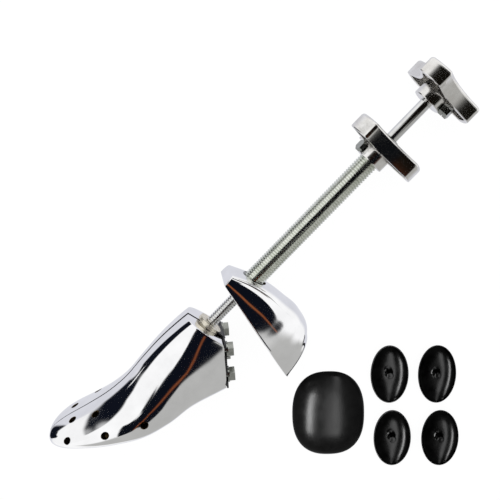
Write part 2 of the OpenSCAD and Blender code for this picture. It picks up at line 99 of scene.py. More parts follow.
class Shell:
    """Grids of points welded into one closed mesh."""

    # sizes of the rings that close a disc, as shares of its outline
    disc_shares = (1.0, 0.6, 0.25, 0.0)

    def __init__(self) -> None:
        """Start with no grids."""
        self.points: list[np.ndarray] = []
        self.faces: list[np.ndarray] = []
        self.slots: list[np.ndarray] = []
        self.count = 0

    def grid(
        self, points: np.ndarray, around: bool = False, closed: bool = False, slot: int = 0
    ) -> None:
        """Add a grid whose quads join each point to its neighbours in the next row and column.

        Args:
            points: rows by columns by three.
            around: join the last column to the first.
            closed: join the last row to the first.
            slot: material slot of its faces.
        """
        rows, columns = points.shape[:2]
        number = np.arange(rows * columns).reshape(rows, columns) + self.count
        if around:
            number = np.concatenate([number, number[:, :1]], axis=1)
        if closed:
            number = np.concatenate([number, number[:1]], axis=0)
        quads = np.stack(
            [number[:-1, :-1], number[:-1, 1:], number[1:, 1:], number[1:, :-1]], axis=-1)
        self.points.append(points.reshape(-1, 3))
        self.faces.append(quads.reshape(-1, 4))
        self.slots.append(np.full(quads.shape[0] * quads.shape[1], slot))
        self.count += rows * columns

    def disc(self, ring: np.ndarray) -> None:
        """Close a ring with quads that shrink to its middle.

        Args:
            ring: the closed ring's points.
        """
        middle = ring.mean(axis=0)
        shares = np.array(self.disc_shares)[:, None, None]
        self.grid(middle + (ring - middle) * shares, around=True)

    def make(self, name: str) -> bpy.types.Object:
        """Weld the grids and turn their faces outwards.

        Args:
            name: name of the new piece.

        Returns:
            The piece, linked to the scene.
        """
        mesh = bpy.data.meshes.new(name)
        mesh.from_pydata(np.concatenate(self.points), [], np.concatenate(self.faces).tolist())
        mesh.polygons.foreach_set("material_index", np.concatenate(self.slots).astype(np.int32))
        work = bmesh.new()
        work.from_mesh(mesh)
        bmesh.ops.remove_doubles(work, verts=work.verts, dist=WELD)
        bmesh.ops.recalc_face_normals(work, faces=work.faces)
        work.to_mesh(mesh)
        work.free()
        piece = bpy.data.objects.new(name, mesh)
        bpy.context.scene.collection.objects.link(piece)
        return piece


def bake(piece: bpy.types.Object) -> None:
    """Apply a piece's modifiers to its mesh.

    Args:
        piece: the piece.
    """
    graph = bpy.context.evaluated_depsgraph_get()
    mesh = bpy.data.meshes.new_from_object(piece.evaluated_get(graph), depsgraph=graph)
    piece.modifiers.clear()
    piece.data = mesh


def cut(piece: bpy.types.Object, cutters: Sequence[bpy.types.Object]) -> None:
    """Subtract each cutter from the piece and remove the cutters.

    Args:
        piece: a closed mesh.
        cutters: closed meshes in the same axes.
    """
    for cutter in cutters:
        tool = piece.modifiers.new(cutter.name, "BOOLEAN")
        tool.operation = "DIFFERENCE"
        tool.solver = "EXACT"
        tool.object = cutter
    bake(piece)
    for cutter in cutters:
        bpy.data.objects.remove(cutter)


def held(profile: Sequence[tuple[float, float]], distance: float = 0.12) -> np.ndarray:
    """Add a point close to both ends of each long stretch, so that smooth shading stays flat there.

    Args:
        profile: corner points.
        distance: how far from each end the points are added.

    Returns:
        The denser profile.
    """
    corners = np.asarray(profile, dtype=float)
    rows = [corners[0]]
    for start, end in zip(corners[:-1], corners[1:]):
        span = np.linalg.norm(end - start)
        if span > 4 * distance:
            step = (end - start) * distance / span
            rows += [start + step, end - step]
        rows.append(end)
    return np.array(rows)


def turned(profile: np.ndarray, columns: int) -> np.ndarray:
    """Turn a profile about the X axis: each point is (x, r cos t, r sin t).

    Args:
        profile: rows of (x, radius).
        columns: steps round the axis.

    Returns:
        Grid of points.
    """
    turn = np.linspace(0, 2 * np.pi, columns, endpoint=False)
    x, radius = profile[:, 0, None], profile[:, 1, None]
    return np.stack([x + 0 * turn, radius * np.cos(turn), radius * np.sin(turn)], axis=-1)


def aimed(points: np.ndarray, at: np.ndarray, along: np.ndarray) -> np.ndarray:
    """Carry points whose axis is X to a new origin and direction.

    Args:
        points: any array of points.
        at: new origin.
        along: new direction of the X axis.

    Returns:
        The moved points.
    """
    x = along / np.linalg.norm(along)
    side = np.cross(x, [0.0, 0.0, 1.0] if abs(x[2]) < 0.9 else [0.0, 1.0, 0.0])
    side /= np.linalg.norm(side)
    return at + points @ np.array([x, side, np.cross(x, side)])


def curve(table: tuple, column: int, place: np.ndarray) -> np.ndarray:
    """Smooth curve through one column of a table: a cubic between rows, with the weighted mean of the
    slopes on both sides as the slope at each row.

    Args:
        table: rows of numbers, each led by its place.
        column: column of the curve.
        place: places to read.

    Returns:
        The column's value at each place.
    """
    rows = np.array(table)
    knots, values = rows[:, 0], rows[:, column]
    slopes = np.gradient(values, knots)
    row = np.clip(np.searchsorted(knots, place) - 1, 0, len(knots) - 2)
    span = knots[row + 1] - knots[row]
    t = (place - knots[row]) / span
    start = (2 * t ** 3 - 3 * t ** 2 + 1) * values[row] + (t ** 3 - 2 * t ** 2 + t) * span * slopes[row]
    end = (3 * t ** 2 - 2 * t ** 3) * values[row + 1] + (t ** 3 - t ** 2) * span * slopes[row + 1]
    return start + end


def bend(start: np.ndarray, corner: np.ndarray, end: np.ndarray, steps: int) -> np.ndarray:
    """Round a corner with the parabola that starts and ends along its two sides.

    Args:
        start: points on the first side.
        corner: the sharp corner.
        end: points on the second side.
        steps: number of rows, both ends included.

    Returns:
        Rows of points.
    """
    t = np.linspace(0, 1, steps).reshape(-1, *([1] * start.ndim))
    return (1 - t) ** 2 * start + 2 * t * (1 - t) * corner + t ** 2 * end


@dataclass(frozen=True)
class SpindleAxes:
    """The stretcher's own axes: X up the spindle to the knobs, Y to the far half, Z to the instep."""

    origin: np.ndarray
    basis: np.ndarray
    wedge_back: float = 30.0

    @classmethod
    def read(cls) -> "SpindleAxes":
        """Read the axes from the joints.

        Returns:
            The axes: X along the heel's travel, Y along the far half's.
        """
        joints = {joint["name"]: joint for joint in frame["joints"]}
        x = np.array(joints["heel_travel"]["axis"])
        y = np.array(joints["far_spread"]["axis"])
        origin = np.array(joints["width_turn"]["pos_m"]) + cls.wedge_back * MM * x
        return cls(origin, np.array([x, y, np.cross(x, y)]))

    def lay(self, piece: bpy.types.Object) -> None:
        """Move a piece's mesh from the spindle's millimetres to the frame's metres, shaded smooth.

        Args:
            piece: piece whose mesh is drawn in the spindle's axes.
        """
        mesh = piece.data
        points = np.empty(len(mesh.vertices) * 3)
        mesh.vertices.foreach_get("co", points)
        points = points.reshape(-1, 3)
        mesh.vertices.foreach_set("co", (self.origin + MM * points @ self.basis).ravel())
        smooth(piece)


def smooth(piece: bpy.types.Object) -> None:
    """Shade a piece smooth, apart from its sharp edges."""
    piece.data.polygons.foreach_set("use_smooth", np.ones(len(piece.data.polygons), dtype=bool))
    piece.data.set_sharp_from_angle(angle=SHARP_ANGLE)
    piece.data.update()


@dataclass(frozen=True)
class Finish:
    """A surface finish: its colour, how it reflects, and the fine unevenness of how it was made."""

    name: str
    colour: str
    metallic: float
    roughness: float
    spread: float = 0.0
    patch_mm: float = 12.0
    grain_mm: float = 0.6
    grain_depth_mm: float = 0.0
    wave_mm: float = 9.0
    wave_depth_mm: float = 0.0
    shade: str = ""
    shade_share: float = 0.0
    specular: float = 0.5

    def material(self) -> bpy.types.Material:
        """Build the material: cloudy patches move the roughness and the tint, and waves and grain move
        the normal.

        Returns:
            The material.
        """
        made = bpy.data.materials.new(self.name)
        made.use_nodes = True
        tree = made.node_tree
        tree.nodes.clear()
        place = add(tree, "ShaderNodeTexCoord").outputs["Object"]
        patch = add(tree, "ShaderNodeTexNoise", {
            "Vector": place, "Scale": 1 / (self.patch_mm * MM), "Detail": 5.0, "Roughness": 0.6})
        rough = add(tree, "ShaderNodeMapRange", {
            "Value": patch.outputs["Fac"], "From Min": 0.3, "From Max": 0.75,
            "To Min": self.roughness, "To Max": self.roughness + self.spread})
        tint = add(tree, "ShaderNodeMapRange", {
            "Value": patch.outputs["Fac"], "From Min": 0.35, "From Max": 0.7,
            "To Min": 0.0, "To Max": self.shade_share})
        colour = self.mixed(tree, tint.outputs["Result"])
        wave = add(tree, "ShaderNodeTexNoise", {
            "Vector": place, "Scale": 1 / (self.wave_mm * MM), "Detail": 1.0})
        slow = add(tree, "ShaderNodeBump", {
            "Height": wave.outputs["Fac"], "Distance": self.wave_depth_mm * MM, "Strength": 1.0})
        grain = add(tree, "ShaderNodeTexNoise", {
            "Vector": place, "Scale": 1 / (self.grain_mm * MM), "Detail": 3.0})
        fine = add(tree, "ShaderNodeBump", {
            "Height": grain.outputs["Fac"], "Distance": self.grain_depth_mm * MM, "Strength": 1.0,
            "Normal": slow.outputs["Normal"]})
        shader = add(tree, "ShaderNodeBsdfPrincipled", {
            "Base Color": colour, "Roughness": rough.outputs["Result"],
            "Normal": fine.outputs["Normal"],
            "Metallic": self.metallic, "Specular IOR Level": self.specular})
        add(tree, "ShaderNodeOutputMaterial", {"Surface": shader.outputs["BSDF"]})
        return made

    def mixed(self, tree: bpy.types.NodeTree, share: bpy.types.NodeSocket) -> bpy.types.NodeSocket:
        """Mix the finish's colour with its darker shade.

        Args:
            tree: the material's node tree.
            share: how much of the shade shows.

        Returns:
            The mixed colour's socket.
        """
        mix = add(tree, "ShaderNodeMix", data_type="RGBA")
        mix.inputs[6].default_value = linear(self.colour)
        mix.inputs[7].default_value = linear(self.shade or self.colour)
        tree.links.new(share, mix.inputs[0])
        return mix.outputs[2]


class Finishes(Enum):
    """Every finish on the stretcher, its pad and its plugs."""

    # Die-cast aluminium, buffed and chrome plated: a near mirror with faint clouds from the buffing wheel.
    LAST = Finish(
        "buffed_chromed_casting", "#F7F7F8", metallic=1.0, roughness=0.04, spread=0.06, patch_mm=14.0,
        grain_mm=0.35, grain_depth_mm=0.0016, wave_mm=16.0, wave_depth_mm=0.012, shade="#E4E4E5",
        shade_share=0.5)
    # The same plating over a tumbled casting: fine sandy grain under the shine.
    KNOB = Finish(
        "tumbled_chromed_casting", "#ECEBE9", metallic=1.0, roughness=0.13, spread=0.08, patch_mm=7.0,
        grain_mm=0.42, grain_depth_mm=0.012, wave_mm=9.0, wave_depth_mm=0.02, shade="#C9C5BF",
        shade_share=0.6)
    # Bare drilled casting inside the holes: dull and brownish, and darkened further as painted shade for
    # the depth of the holes.
    BORE = Finish(
        "drilled_casting_with_painted_shade", "#5B4B33", metallic=1.0, roughness=0.42, spread=0.15, patch_mm=3.0,
        grain_mm=0.3, grain_depth_mm=0.01, wave_mm=4.0, shade="#2A2115", shade_share=0.8)
    # Zinc-plated steel tube with a passivated, slightly green cast.
    TUBE = Finish(
        "zinc_plated_thread", "#E4E6DF", metallic=1.0, roughness=0.1, spread=0.08, patch_mm=5.0,
        grain_mm=0.3, grain_depth_mm=0.003, wave_mm=6.0, shade="#C6CBBF", shade_share=0.7)
    # Bright drawn steel rod: smooth and cooler.
    ROD = Finish(
        "bright_steel_rod", "#E3E3E2", metallic=1.0, roughness=0.1, spread=0.08, patch_mm=6.0,
        grain_mm=0.3, grain_depth_mm=0.002, wave_mm=6.0, shade="#C8C8C6", shade_share=0.5)
    # Machined bush in pale plated steel, a little warm.
    BUSH = Finish(
        "plated_bush", "#E6E0D0", metallic=0.85, roughness=0.3, spread=0.12, patch_mm=4.0,
        grain_mm=0.3, grain_depth_mm=0.004, wave_mm=5.0, shade="#C7C0AE", shade_share=0.6)
    # Blackened sheet steel: satin, with greyer rubbed patches.
    PLATE = Finish(
        "blackened_sheet", "#141415", metallic=0.0, roughness=0.38, spread=0.15, patch_mm=6.0,
        grain_mm=0.4, grain_depth_mm=0.01, wave_mm=6.0, shade="#2C2C2E", shade_share=0.5)
    # Zinc-plated fasteners.
    FASTENER = Finish(
        "zinc_plated_fastener", "#A9ABA6", metallic=1.0, roughness=0.18, spread=0.12, patch_mm=3.0,
        grain_mm=0.3, grain_depth_mm=0.006, wave_mm=4.0, shade="#8D908A", shade_share=0.7)
    # Machined steel inside the last.
    INNER = Finish(
        "machined_steel", "#9B9C9C", metallic=1.0, roughness=0.3, spread=0.12, patch_mm=5.0,
        grain_mm=0.3, grain_depth_mm=0.006, wave_mm=5.0, shade="#77787A", shade_share=0.6)
    # Moulded black plastic, satin from a fine-textured mould.
    PAD = Finish(
        "satin_moulded_plastic", "#010101", metallic=0.0, roughness=0.2, spread=0.08, patch_mm=7.0,
        grain_mm=0.8, grain_depth_mm=0.02, wave_mm=14.0, wave_depth_mm=0.03, shade="#020202",
        shade_share=0.6, specular=0.025)
    # Moulded black plastic from a polished mould.
    PLUG = Finish(
        "gloss_moulded_plastic", "#000000", metallic=0.0, roughness=0.16, spread=0.06, patch_mm=8.0,
        grain_mm=0.7, grain_depth_mm=0.004, wave_mm=10.0, wave_depth_mm=0.01, shade="#010101",
        shade_share=0.6, specular=0.018)


class Wardrobe:
    """Makes each finish's material once."""

    def __init__(self) -> None:
        """Build every material."""
        self.made = {finish: finish.value.material() for finish in Finishes}

    def dress(self, piece: bpy.types.Object, *finishes: Finishes) -> None:
        """Give a piece its materials, in the order of its slots.

        Args:
            piece: the piece.
            finishes: one finish for each slot.
        """
        slots = piece.data.materials
        for number, finish in enumerate(finishes):
            if number < len(slots):
                slots[number] = self.made[finish]
            else:
                slots.append(self.made[finish])

    def dress_nodes(self, finish: Finishes, *names: str) -> None:
        """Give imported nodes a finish.

        Args:
            finish: the finish.
            names: the nodes' names.
        """
        for name in names:
            self.dress(frame["nodes"][name], finish)
            LOG.info("%s: %s", name, finish.value.name)


def settle(piece: bpy.types.Object, body: str, slot: str, *nodes: str) -> None:
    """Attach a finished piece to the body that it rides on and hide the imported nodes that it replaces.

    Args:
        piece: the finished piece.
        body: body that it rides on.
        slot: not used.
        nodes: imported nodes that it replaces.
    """
    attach(piece, body)
    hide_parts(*nodes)
    LOG.info("%s: %d faces on %s", piece.name, len(piece.data.polygons), body)


@dataclass
class LastHalves:
    """The split last: two mirrored castings round the spreader, open at the throat."""

    length: float = 145.95
    ball_half: float = 36.4
    tip_height: float = 29.0
    toe_share: float = 0.22
    toe_end: float = 0.9994
    toe_plan: float = 2.5
    toe_height: float = 2.6
    waist_share: float = 0.40
    sole_square: float = 2.9
    seam_rear: float = 2.7
    seam_toe: float = 0.6
    thinnest: float = 0.2
    throat_lean: float = 8.0
    rear_slope: float = 43.6
    corner_x: float = -0.6
    corner_z: float = -11.9
    lip: float = 0.55
    body_rows: int = 110
    toe_rows: int = 40
    columns: int = 64
    lip_rows: int = 6
    face_rows: int = 14
    # shares of the length between which the end faces lie, how often that span is halved, and the steps
    # up the section that find the corner of the faces
    search: tuple = (-0.04, 0.6)
    halvings: int = 40
    trial_steps: int = 2001
    # power of the seam wall's fade from the end faces' line to straight
    wall_fade: float = 3.0
    # share of the length, underside, top, share of the half width, squareness of the crown
    sections: tuple = (
        (-0.04, -54.0, 16.4, 0.55, 4.2), (0.08, -48.0, 18.8, 0.60, 3.8), (0.22, -39.5, 20.3, 0.67, 2.9),
        (0.36, -31.0, 19.8, 0.75, 2.3), (0.50, -26.0, 18.6, 0.86, 2.0), (0.62, -18.0, 20.5, 0.95, 1.9),
        (0.74, -4.5, 25.0, 0.94, 1.9), (0.86, 10.5, 30.5, 0.85, 2.0), (1.00, 23.5, 35.5, 0.72, 2.2),
    )
    # peg holes: share of the length and angle up the section, in degrees
    pegs: tuple = ((0.879, 27.0), (0.714, 16.4), (0.55, 0.4), (0.828, 72.0), (0.707, 60.6))
    peg_radius: float = 2.8
    peg_deep: float = 9.0
    # steps along and up the skin that give its direction at a hole
    probe: tuple = (0.003, 0.01)
    # height above the skin and radius past the hole of the chamfer at a peg hole's mouth
    chamfer: tuple = ((-0.35, 0.0), (1.5, 1.85), (6.0, 1.85))
    drill_tip: float = 1.2
    hole_columns: int = 40
    # dowel holes: x and z
    dowels: tuple = ((-14.0, -20.0), (-58.0, -18.0), (-92.0, 8.0))
    dowel_radius: float = 2.56
    dowel_deep: float = 17.1
    dowel_from: float = -5.0
    # bolt holes: distance down the rear face and out from the middle
    bolts: tuple = ((5.1, 16.5), (25.4, 16.5))
    bolt_radius: float = 3.05
    bolt_deep: float = 14.5
    bolt_past: float = 3.0
    # room for the bush: x and radius
    bush: tuple = ((-24.5, 0), (-24.5, 7.8), (-2.3, 7.8), (-2.3, 9.8), (30, 9.8), (30, 0))
    ramp: float = 20.0
    wedge_x: float = -30.0
    wedge_half: float = 12.0
    wedge_high: float = 16.6
    room_rear: float = -23.6
    room_past: float = -4.0
    room_clear: float = 0.1
    # slot of the wedge's key: start and end along the ramp, then its two sides out of the ramp
    key_slot: tuple = (-7.0, 28.5, -1.0, 5.3)
    key_high: float = 8.6

    def closing(self, share: np.ndarray, power: float) -> np.ndarray:
        """How far the toe is still open: one before it starts, zero at the tip, on a rounded-square arc."""
        inside = np.clip((1 - share) / self.toe_share, 0, 1)
        return (1 - (1 - inside) ** power) ** (1 / power)

    def seam(self, share: np.ndarray) -> np.ndarray:
        """Half of the gap between the halves, which narrows evenly to the toe."""
        return (self.seam_rear + (self.seam_toe - self.seam_rear) * np.maximum(0, share)) / 2

    def skin(self, share: np.ndarray, turn: np.ndarray) -> np.ndarray:
        """Point of the far half's skin. A section is a rounded square, |y| to a power plus |z| to the same
        power being constant, with its own power above and below its widest line.

        Args:
            share: shares of the length.
            turn: angles up the section, from minus to plus a quarter turn.

        Returns:
            The points.
        """
        shut = self.closing(share, self.toe_height)
        under = self.tip_height + (curve(self.sections, 1, share) - self.tip_height) * shut
        over = self.tip_height + (curve(self.sections, 2, share) - self.tip_height) * shut
        half = curve(self.sections, 3, share) * self.ball_half * self.closing(share, self.toe_plan)
        gap = self.seam(share)
        half = np.maximum(half, gap + self.thinnest)
        waist = under + self.waist_share * (over - under)
        power = np.where(turn > 0, curve(self.sections, 4, share), self.sole_square)
        out, up = np.abs(np.cos(turn)), np.abs(np.sin(turn))
        reach = (out ** power + up ** power) ** (-1 / power)
        high = np.where(turn > 0, over - waist, under - waist)
        return np.stack([
            -share * self.length, gap + (half - gap) * reach * out, waist + high * reach * up], axis=-1)

    def beyond(self, points: np.ndarray) -> np.ndarray:
        """Distance past the throat face or the sloping rear face, whichever is more.

        Args:
            points: any points.

        Returns:
            The distances, below zero inside the last.
        """
        lean, slope = math.radians(self.throat_lean), math.radians(self.rear_slope)
        x, z = points[..., 0] - self.corner_x, points[..., 2] - self.corner_z
        return np.maximum(
            x * math.cos(lean) + z * math.sin(lean), x * math.cos(slope) - z * math.sin(slope))

    def first(self, turn: np.ndarray) -> np.ndarray:
        """Share of the length at which the skin meets the end faces, by halving the span that holds it.

        Args:
            turn: angles up the section.

        Returns:
            The shares.
        """
        low, high = np.full(turn.shape, self.search[0]), np.full(turn.shape, self.search[1])
        for _ in range(self.halvings):
            middle = (low + high) / 2
            outside = self.beyond(self.skin(middle, turn)) > 0
            low, high = np.where(outside, middle, low), np.where(outside, high, middle)
        return (low + high) / 2

    def half(self) -> bpy.types.Object:
        """Build the far half in the spindle's axes: skin, rounded lip, end faces and seam wall.

        Returns:
            The uncut half.
        """
        trial = np.linspace(-np.pi / 2, np.pi / 2, self.trial_steps)
        levels = self.skin(self.first(trial), trial)[:, 2]
        corner = np.interp(self.corner_z, levels, trial)
        turn = np.concatenate([
            np.linspace(-np.pi / 2, corner, self.columns // 2),
            np.linspace(corner, np.pi / 2, self.columns)[1:]])
        first = self.first(turn)
        edge = self.skin(first, turn)
        start = first + self.lip / self.length
        body = np.linspace(0, 1, self.body_rows)[:, None]
        toe_start = 1 - self.toe_share
        shares = start + (toe_start - start) * body
        last = math.asin(1 - (1 - self.toe_end) / self.toe_share)
        rounding = np.sin(np.linspace(0, last, self.toe_rows))[1:, None]
        toe = 1 - self.toe_share * (1 - rounding) + 0 * turn
        shares = np.concatenate([shares, toe])
        skin = self.skin(shares, turn + 0 * shares)
        inward = self.inward(edge)
        lip = bend(edge + self.lip * inward, edge, skin[0], self.lip_rows)
        skin = np.concatenate([lip[:-1], skin])
        shell = Shell()
        shell.grid(skin)
        face = skin[0]
        line = face.copy()
        line[:, 1] = self.seam(-face[:, 0] / self.length)
        across = np.linspace(0, 1, self.face_rows)[:, None, None]
        shell.grid(face + (line - face) * across)
        wall = self.wall(skin, line)
        shell.grid(wall)
        shell.grid(np.stack([skin[-1], wall[-1]]))
        return shell.make("last_half")

    def inward(self, edge: np.ndarray) -> np.ndarray:
        """Direction from each point of the edge into its end face, towards the corner of the two faces.

        Args:
            edge: the skin's edge.

        Returns:
            The directions.
        """
        lean, slope = math.radians(self.throat_lean), math.radians(self.rear_slope)
        down = edge[:, 2] < self.corner_z
        along_x = np.where(down, math.sin(slope), -math.sin(lean))
        along_z = np.where(down, math.cos(slope), math.cos(lean))
        rise = -(edge[:, 2] - self.corner_z)
        side = -(edge[:, 1] - self.seam(-edge[:, 0] / self.length))
        vector = np.stack([rise * along_x, side, rise * along_z], axis=-1)
        return vector / np.maximum(np.linalg.norm(vector, axis=-1, keepdims=True), 1e-9)

    def wall(self, skin: np.ndarray, line: np.ndarray) -> np.ndarray:
        """Seam wall: straight from the sole's edge to the crown's, bent at the rear to the end faces' line.

        Args:
            skin: the skin's grid.
            line: the inner line of the end faces.

        Returns:
            Grid with the skin's rows and columns.
        """
        low, high = skin[:, :1], skin[:, -1:]
        along = ((line[:, 2] - line[0, 2]) / (line[-1, 2] - line[0, 2]))[None, :, None]
        straight = low + (high - low) * along
        fade = (np.linspace(1, 0, len(skin)) ** self.wall_fade)[:, None, None]
        wall = straight + (line - straight[0]) * fade
        wall[:, 1:-1, 1] = self.seam(-wall[:, 1:-1, 0] / self.length)
        return wall

    def plug(
        self, name: str, profile: Sequence[tuple[float, float]], at: Sequence[float],
        along: Sequence[float]
    ) -> bpy.types.Object:
        """Make a turned cutter.

        Args:
            name: its name.
            profile: (depth, radius) pairs from axis to axis.
            at: its origin.
            along: its axis.

        Returns:
            The cutter.
        """
        round_form = turned(np.array(profile, dtype=float), self.hole_columns)
        shell = Shell()
        shell.grid(aimed(round_form, np.array(at, dtype=float), np.array(along, dtype=float)),
                   around=True, slot=1)
        return shell.make(name)

    def prism(self, name: str, outline: np.ndarray, high: float) -> bpy.types.Object:
        """Make an upright cutter of even height about the spindle's level.

        Args:
            name: its name.
            outline: its (x, y) corners.
            high: its height.

        Returns:
            The cutter.
        """
        ring = np.concatenate([outline, np.zeros((len(outline), 1))], axis=1)
        up = np.array([0.0, 0.0, high / 2])
        shell = Shell()
        shell.grid(np.stack([ring - up, ring + up]), around=True, slot=1)
        for end in (ring - up, ring + up):
            shell.grid(np.stack([end, 0 * end + end.mean(0)]), around=True, slot=1)
        return shell.make(name)

    def cutters(self) -> list[bpy.types.Object]:
        """Make what is drilled and milled from the far half.

        Returns:
            The cutters.
        """
        tools = []
        for number, (share, angle) in enumerate(self.pegs):
            power = float(curve(self.sections, 4, np.array(share)))
            turn = np.arctan(np.tan(np.radians(angle)) ** (2 / power))
            ahead, up = self.probe
            near = [self.skin(np.array(share + d), np.array(turn + t))
                    for d, t in ((ahead, 0), (-ahead, 0), (0, up), (0, -up))]
            out = np.cross(near[0] - near[1], near[2] - near[3])
            out /= np.linalg.norm(out)
            deep, rim = -self.peg_deep, self.peg_radius
            profile = [(deep - self.drill_tip, 0), (deep, rim),
                       *((x, rim + wider) for x, wider in self.chamfer), (self.chamfer[-1][0], 0)]
            at = self.skin(np.array(share), np.array(turn))
            tools.append(self.plug(f"peg_{number}", profile, at, out))
        for number, (x, z) in enumerate(self.dowels):
            profile = self.drilled(self.dowel_from, self.dowel_deep, self.dowel_radius)
            tools.append(self.plug(f"dowel_{number}", profile, (x, 0, z), (0, 1, 0)))
        slope = math.radians(self.rear_slope)
        for number, (down, side) in enumerate(self.bolts):
            at = (self.corner_x - down * math.sin(slope), side, self.corner_z - down * math.cos(slope))
            out = (math.cos(slope), 0, -math.sin(slope))
            profile = self.drilled(-self.bolt_deep, self.bolt_past, self.bolt_radius)
            tools.append(self.plug(f"bolt_{number}", profile, at, out))
        tools.append(self.plug("bush", self.bush, (0, 0, 0), (1, 0, 0)))
        tools.append(self.prism("spreader", self.spreader(), self.wedge_high))
        tools.append(self.prism("key_slot", self.slab(*self.key_slot), self.key_high))
        return tools

    def drilled(self, start: float, end: float, radius: float) -> list[tuple[float, float]]:
        """Profile of a plain round hole, from axis to axis."""
        return [(start, 0), (start, radius), (end, radius), (end, 0)]

    def slab(self, start: float, end: float, low: float, high: float) -> np.ndarray:
        """Corners of a slab along the wedge's ramp.

        Args:
            start: its start along the ramp.
            end: its end along the ramp.
            low: its near side, out of the ramp.
            high: its far side, out of the ramp.

        Returns:
            The four corners.
        """
        angle = math.radians(self.ramp)
        along = np.array([-math.cos(angle), -math.sin(angle)])
        out = np.array([-math.sin(angle), math.cos(angle)])
        base = np.array([self.wedge_x, self.wedge_half])
        return np.array([base + s * along + n * out for s, n in (
            (start, low), (end, low), (end, high), (start, high))])

    def spreader(self) -> np.ndarray:
        """Outline of the room for the wedge, from the bush to where its ramps would meet.

        Returns:
            The four corners.
        """
        rise, rear = math.tan(math.radians(self.ramp)), self.room_rear
        meet = self.wedge_x - self.wedge_half / rise
        rear_half = self.wedge_half + (rear - self.wedge_x) * rise + self.room_clear
        return np.array([
            (rear, self.room_past), (rear, rear_half), (meet, self.room_clear),
            (meet - 1, self.room_past)])

    def build(self, axes: SpindleAxes, wardrobe: Wardrobe) -> None:
        """Build both halves and lay them in the frame.

        Args:
            axes: the spindle's axes.
            wardrobe: the finishes.
        """
        far = self.half()
        wardrobe.dress(far, Finishes.LAST, Finishes.BORE)
        tools = self.cutters()
        for tool in tools:
            wardrobe.dress(tool, Finishes.LAST, Finishes.BORE)
        cut(far, tools)
        far.name = "far_last_casting"
        near = far.copy()
        near.data = far.data.copy()
        near.name = "near_last_casting"
        bpy.context.scene.collection.objects.link(near)
        near.data.transform(Matrix.Diagonal((1, -1, 1, 1)))
        near.data.flip_normals()
        axes.lay(far)
        axes.lay(near)
        settle(far, "half_far", "last_cast", "last_half_far")
        settle(near, "half_near", "last_cast", "last_half_near")


@dataclass
class HeelBlock:
    """The heel: a D-shaped casting with a leaning flat front, a domed back and a flat top."""

    front_x: float = 27.15
    lean: float = 14.2
    edge: float = 0.7
    top: float = 17.5
    bottom: float = -66.15
    rows: int = 110
    # the rows' spacing: an even share, a share that closes up towards the bottom, and its power
    spacing: tuple = (0.35, 0.65, 2.4)
    arc_columns: int = 120
    front_columns: int = 16
    corner_rows: int = 8
    lip_rows: int = 6
    # length of a front corner's rounding, as a multiple of the edge
    corner_reach: float = 1.3
    bore: float = 7.85
    insert_bore: float = 9.02
    insert_x: float = 30.5
    bore_columns: int = 64
    bore_reach: float = 80.0
    # height, back, half width, squareness
    sections: tuple = (
        (-66.2, 14.0, 18.5, 2.3), (-63.0, 33.0, 22.0, 2.6), (-56.0, 45.0, 23.9, 2.8),
        (-44.0, 51.0, 23.5, 2.9), (-28.0, 51.5, 21.0, 3.0), (-12.0, 50.5, 18.5, 3.2),
        (4.0, 46.8, 16.0, 3.4), (17.5, 41.6, 14.2, 3.6),
    )

    def ring(self, z: np.ndarray, inset: float = 0.0) -> np.ndarray:
        """Closed outlines at the given heights: the back is a rounded square with a power of its own, the
        front a straight line, and a parabola rounds the two front corners.

        Args:
            z: heights, one for each row.
            inset: how far the outline is drawn in.

        Returns:
            Rows of points.
        """
        back, half, power = (curve(self.sections, column, z)[:, None] for column in (1, 2, 3))
        front = (self.front_x + z * math.tan(math.radians(self.lean)))[:, None] + inset
        back, half = back - inset, half - inset
        turn = np.linspace(-np.pi / 2, np.pi / 2, self.arc_columns)[None, 2:-2]
        out, side = np.abs(np.cos(turn)), np.abs(np.sin(turn))
        reach = (out ** power + side ** power) ** (-1 / power)
        arc = np.stack([
            front + (back - front) * reach * out, half * reach * side * np.sign(turn)], axis=-1)
        flat_half = half - self.edge * self.corner_reach
        corners = []
        for sign, point in ((1, arc[:, -1]), (-1, arc[:, 0])):
            corner = np.stack([front[:, 0], sign * half[:, 0]], axis=-1)
            inner = np.stack([front[:, 0], sign * flat_half[:, 0]], axis=-1)
            rows = bend(point, corner, inner, self.corner_rows)[1:]
            corners.append(np.moveaxis(rows if sign > 0 else rows[::-1], 0, 1))
        share = np.linspace(1, -1, self.front_columns)[None, 1:-1]
        line = np.stack([front + 0 * share, flat_half * share], axis=-1)
        flat = np.concatenate([arc, corners[0], line, corners[1]], axis=1)
        level = np.broadcast_to(z[:, None, None], (*flat.shape[:2], 1))
        return np.concatenate([flat, level], axis=-1)

    def build(self, axes: SpindleAxes, wardrobe: Wardrobe) -> None:
        """Build the heel and lay it in the frame.

        Args:
            axes: the spindle's axes.
            wardrobe: the finishes.
        """
        share = np.linspace(0, 1, self.rows)
        even, closing, power = self.spacing
        z = self.bottom + (self.top - self.edge - self.bottom) * (even * share + closing * share ** power)
        body = self.ring(z)
        rim = self.ring(np.array([self.top]))[0]
        inner = self.ring(np.array([self.top]), self.edge)[0]
        lip = bend(body[-1], rim, inner, self.lip_rows)
        shell = Shell()
        shell.grid(np.concatenate([body, lip[1:]]), around=True)
        shell.disc(inner)
        shell.disc(body[0])
        heel = shell.make("heel_casting")
        wardrobe.dress(heel, Finishes.LAST, Finishes.BORE)
        profile = np.array([
            (0, 0), (0, self.bore), (self.insert_x, self.bore), (self.insert_x, self.insert_bore),
            (self.bore_reach, self.insert_bore), (self.bore_reach, 0)], dtype=float)
        tool = Shell()
        tool.grid(turned(profile, self.bore_columns), around=True, slot=1)
        cutter = tool.make("heel_bore")
        wardrobe.dress(cutter, Finishes.LAST, Finishes.BORE)
        cut(heel, [cutter])
        axes.lay(heel)
        settle(heel, "heel", "heel_cast", "heel_block")


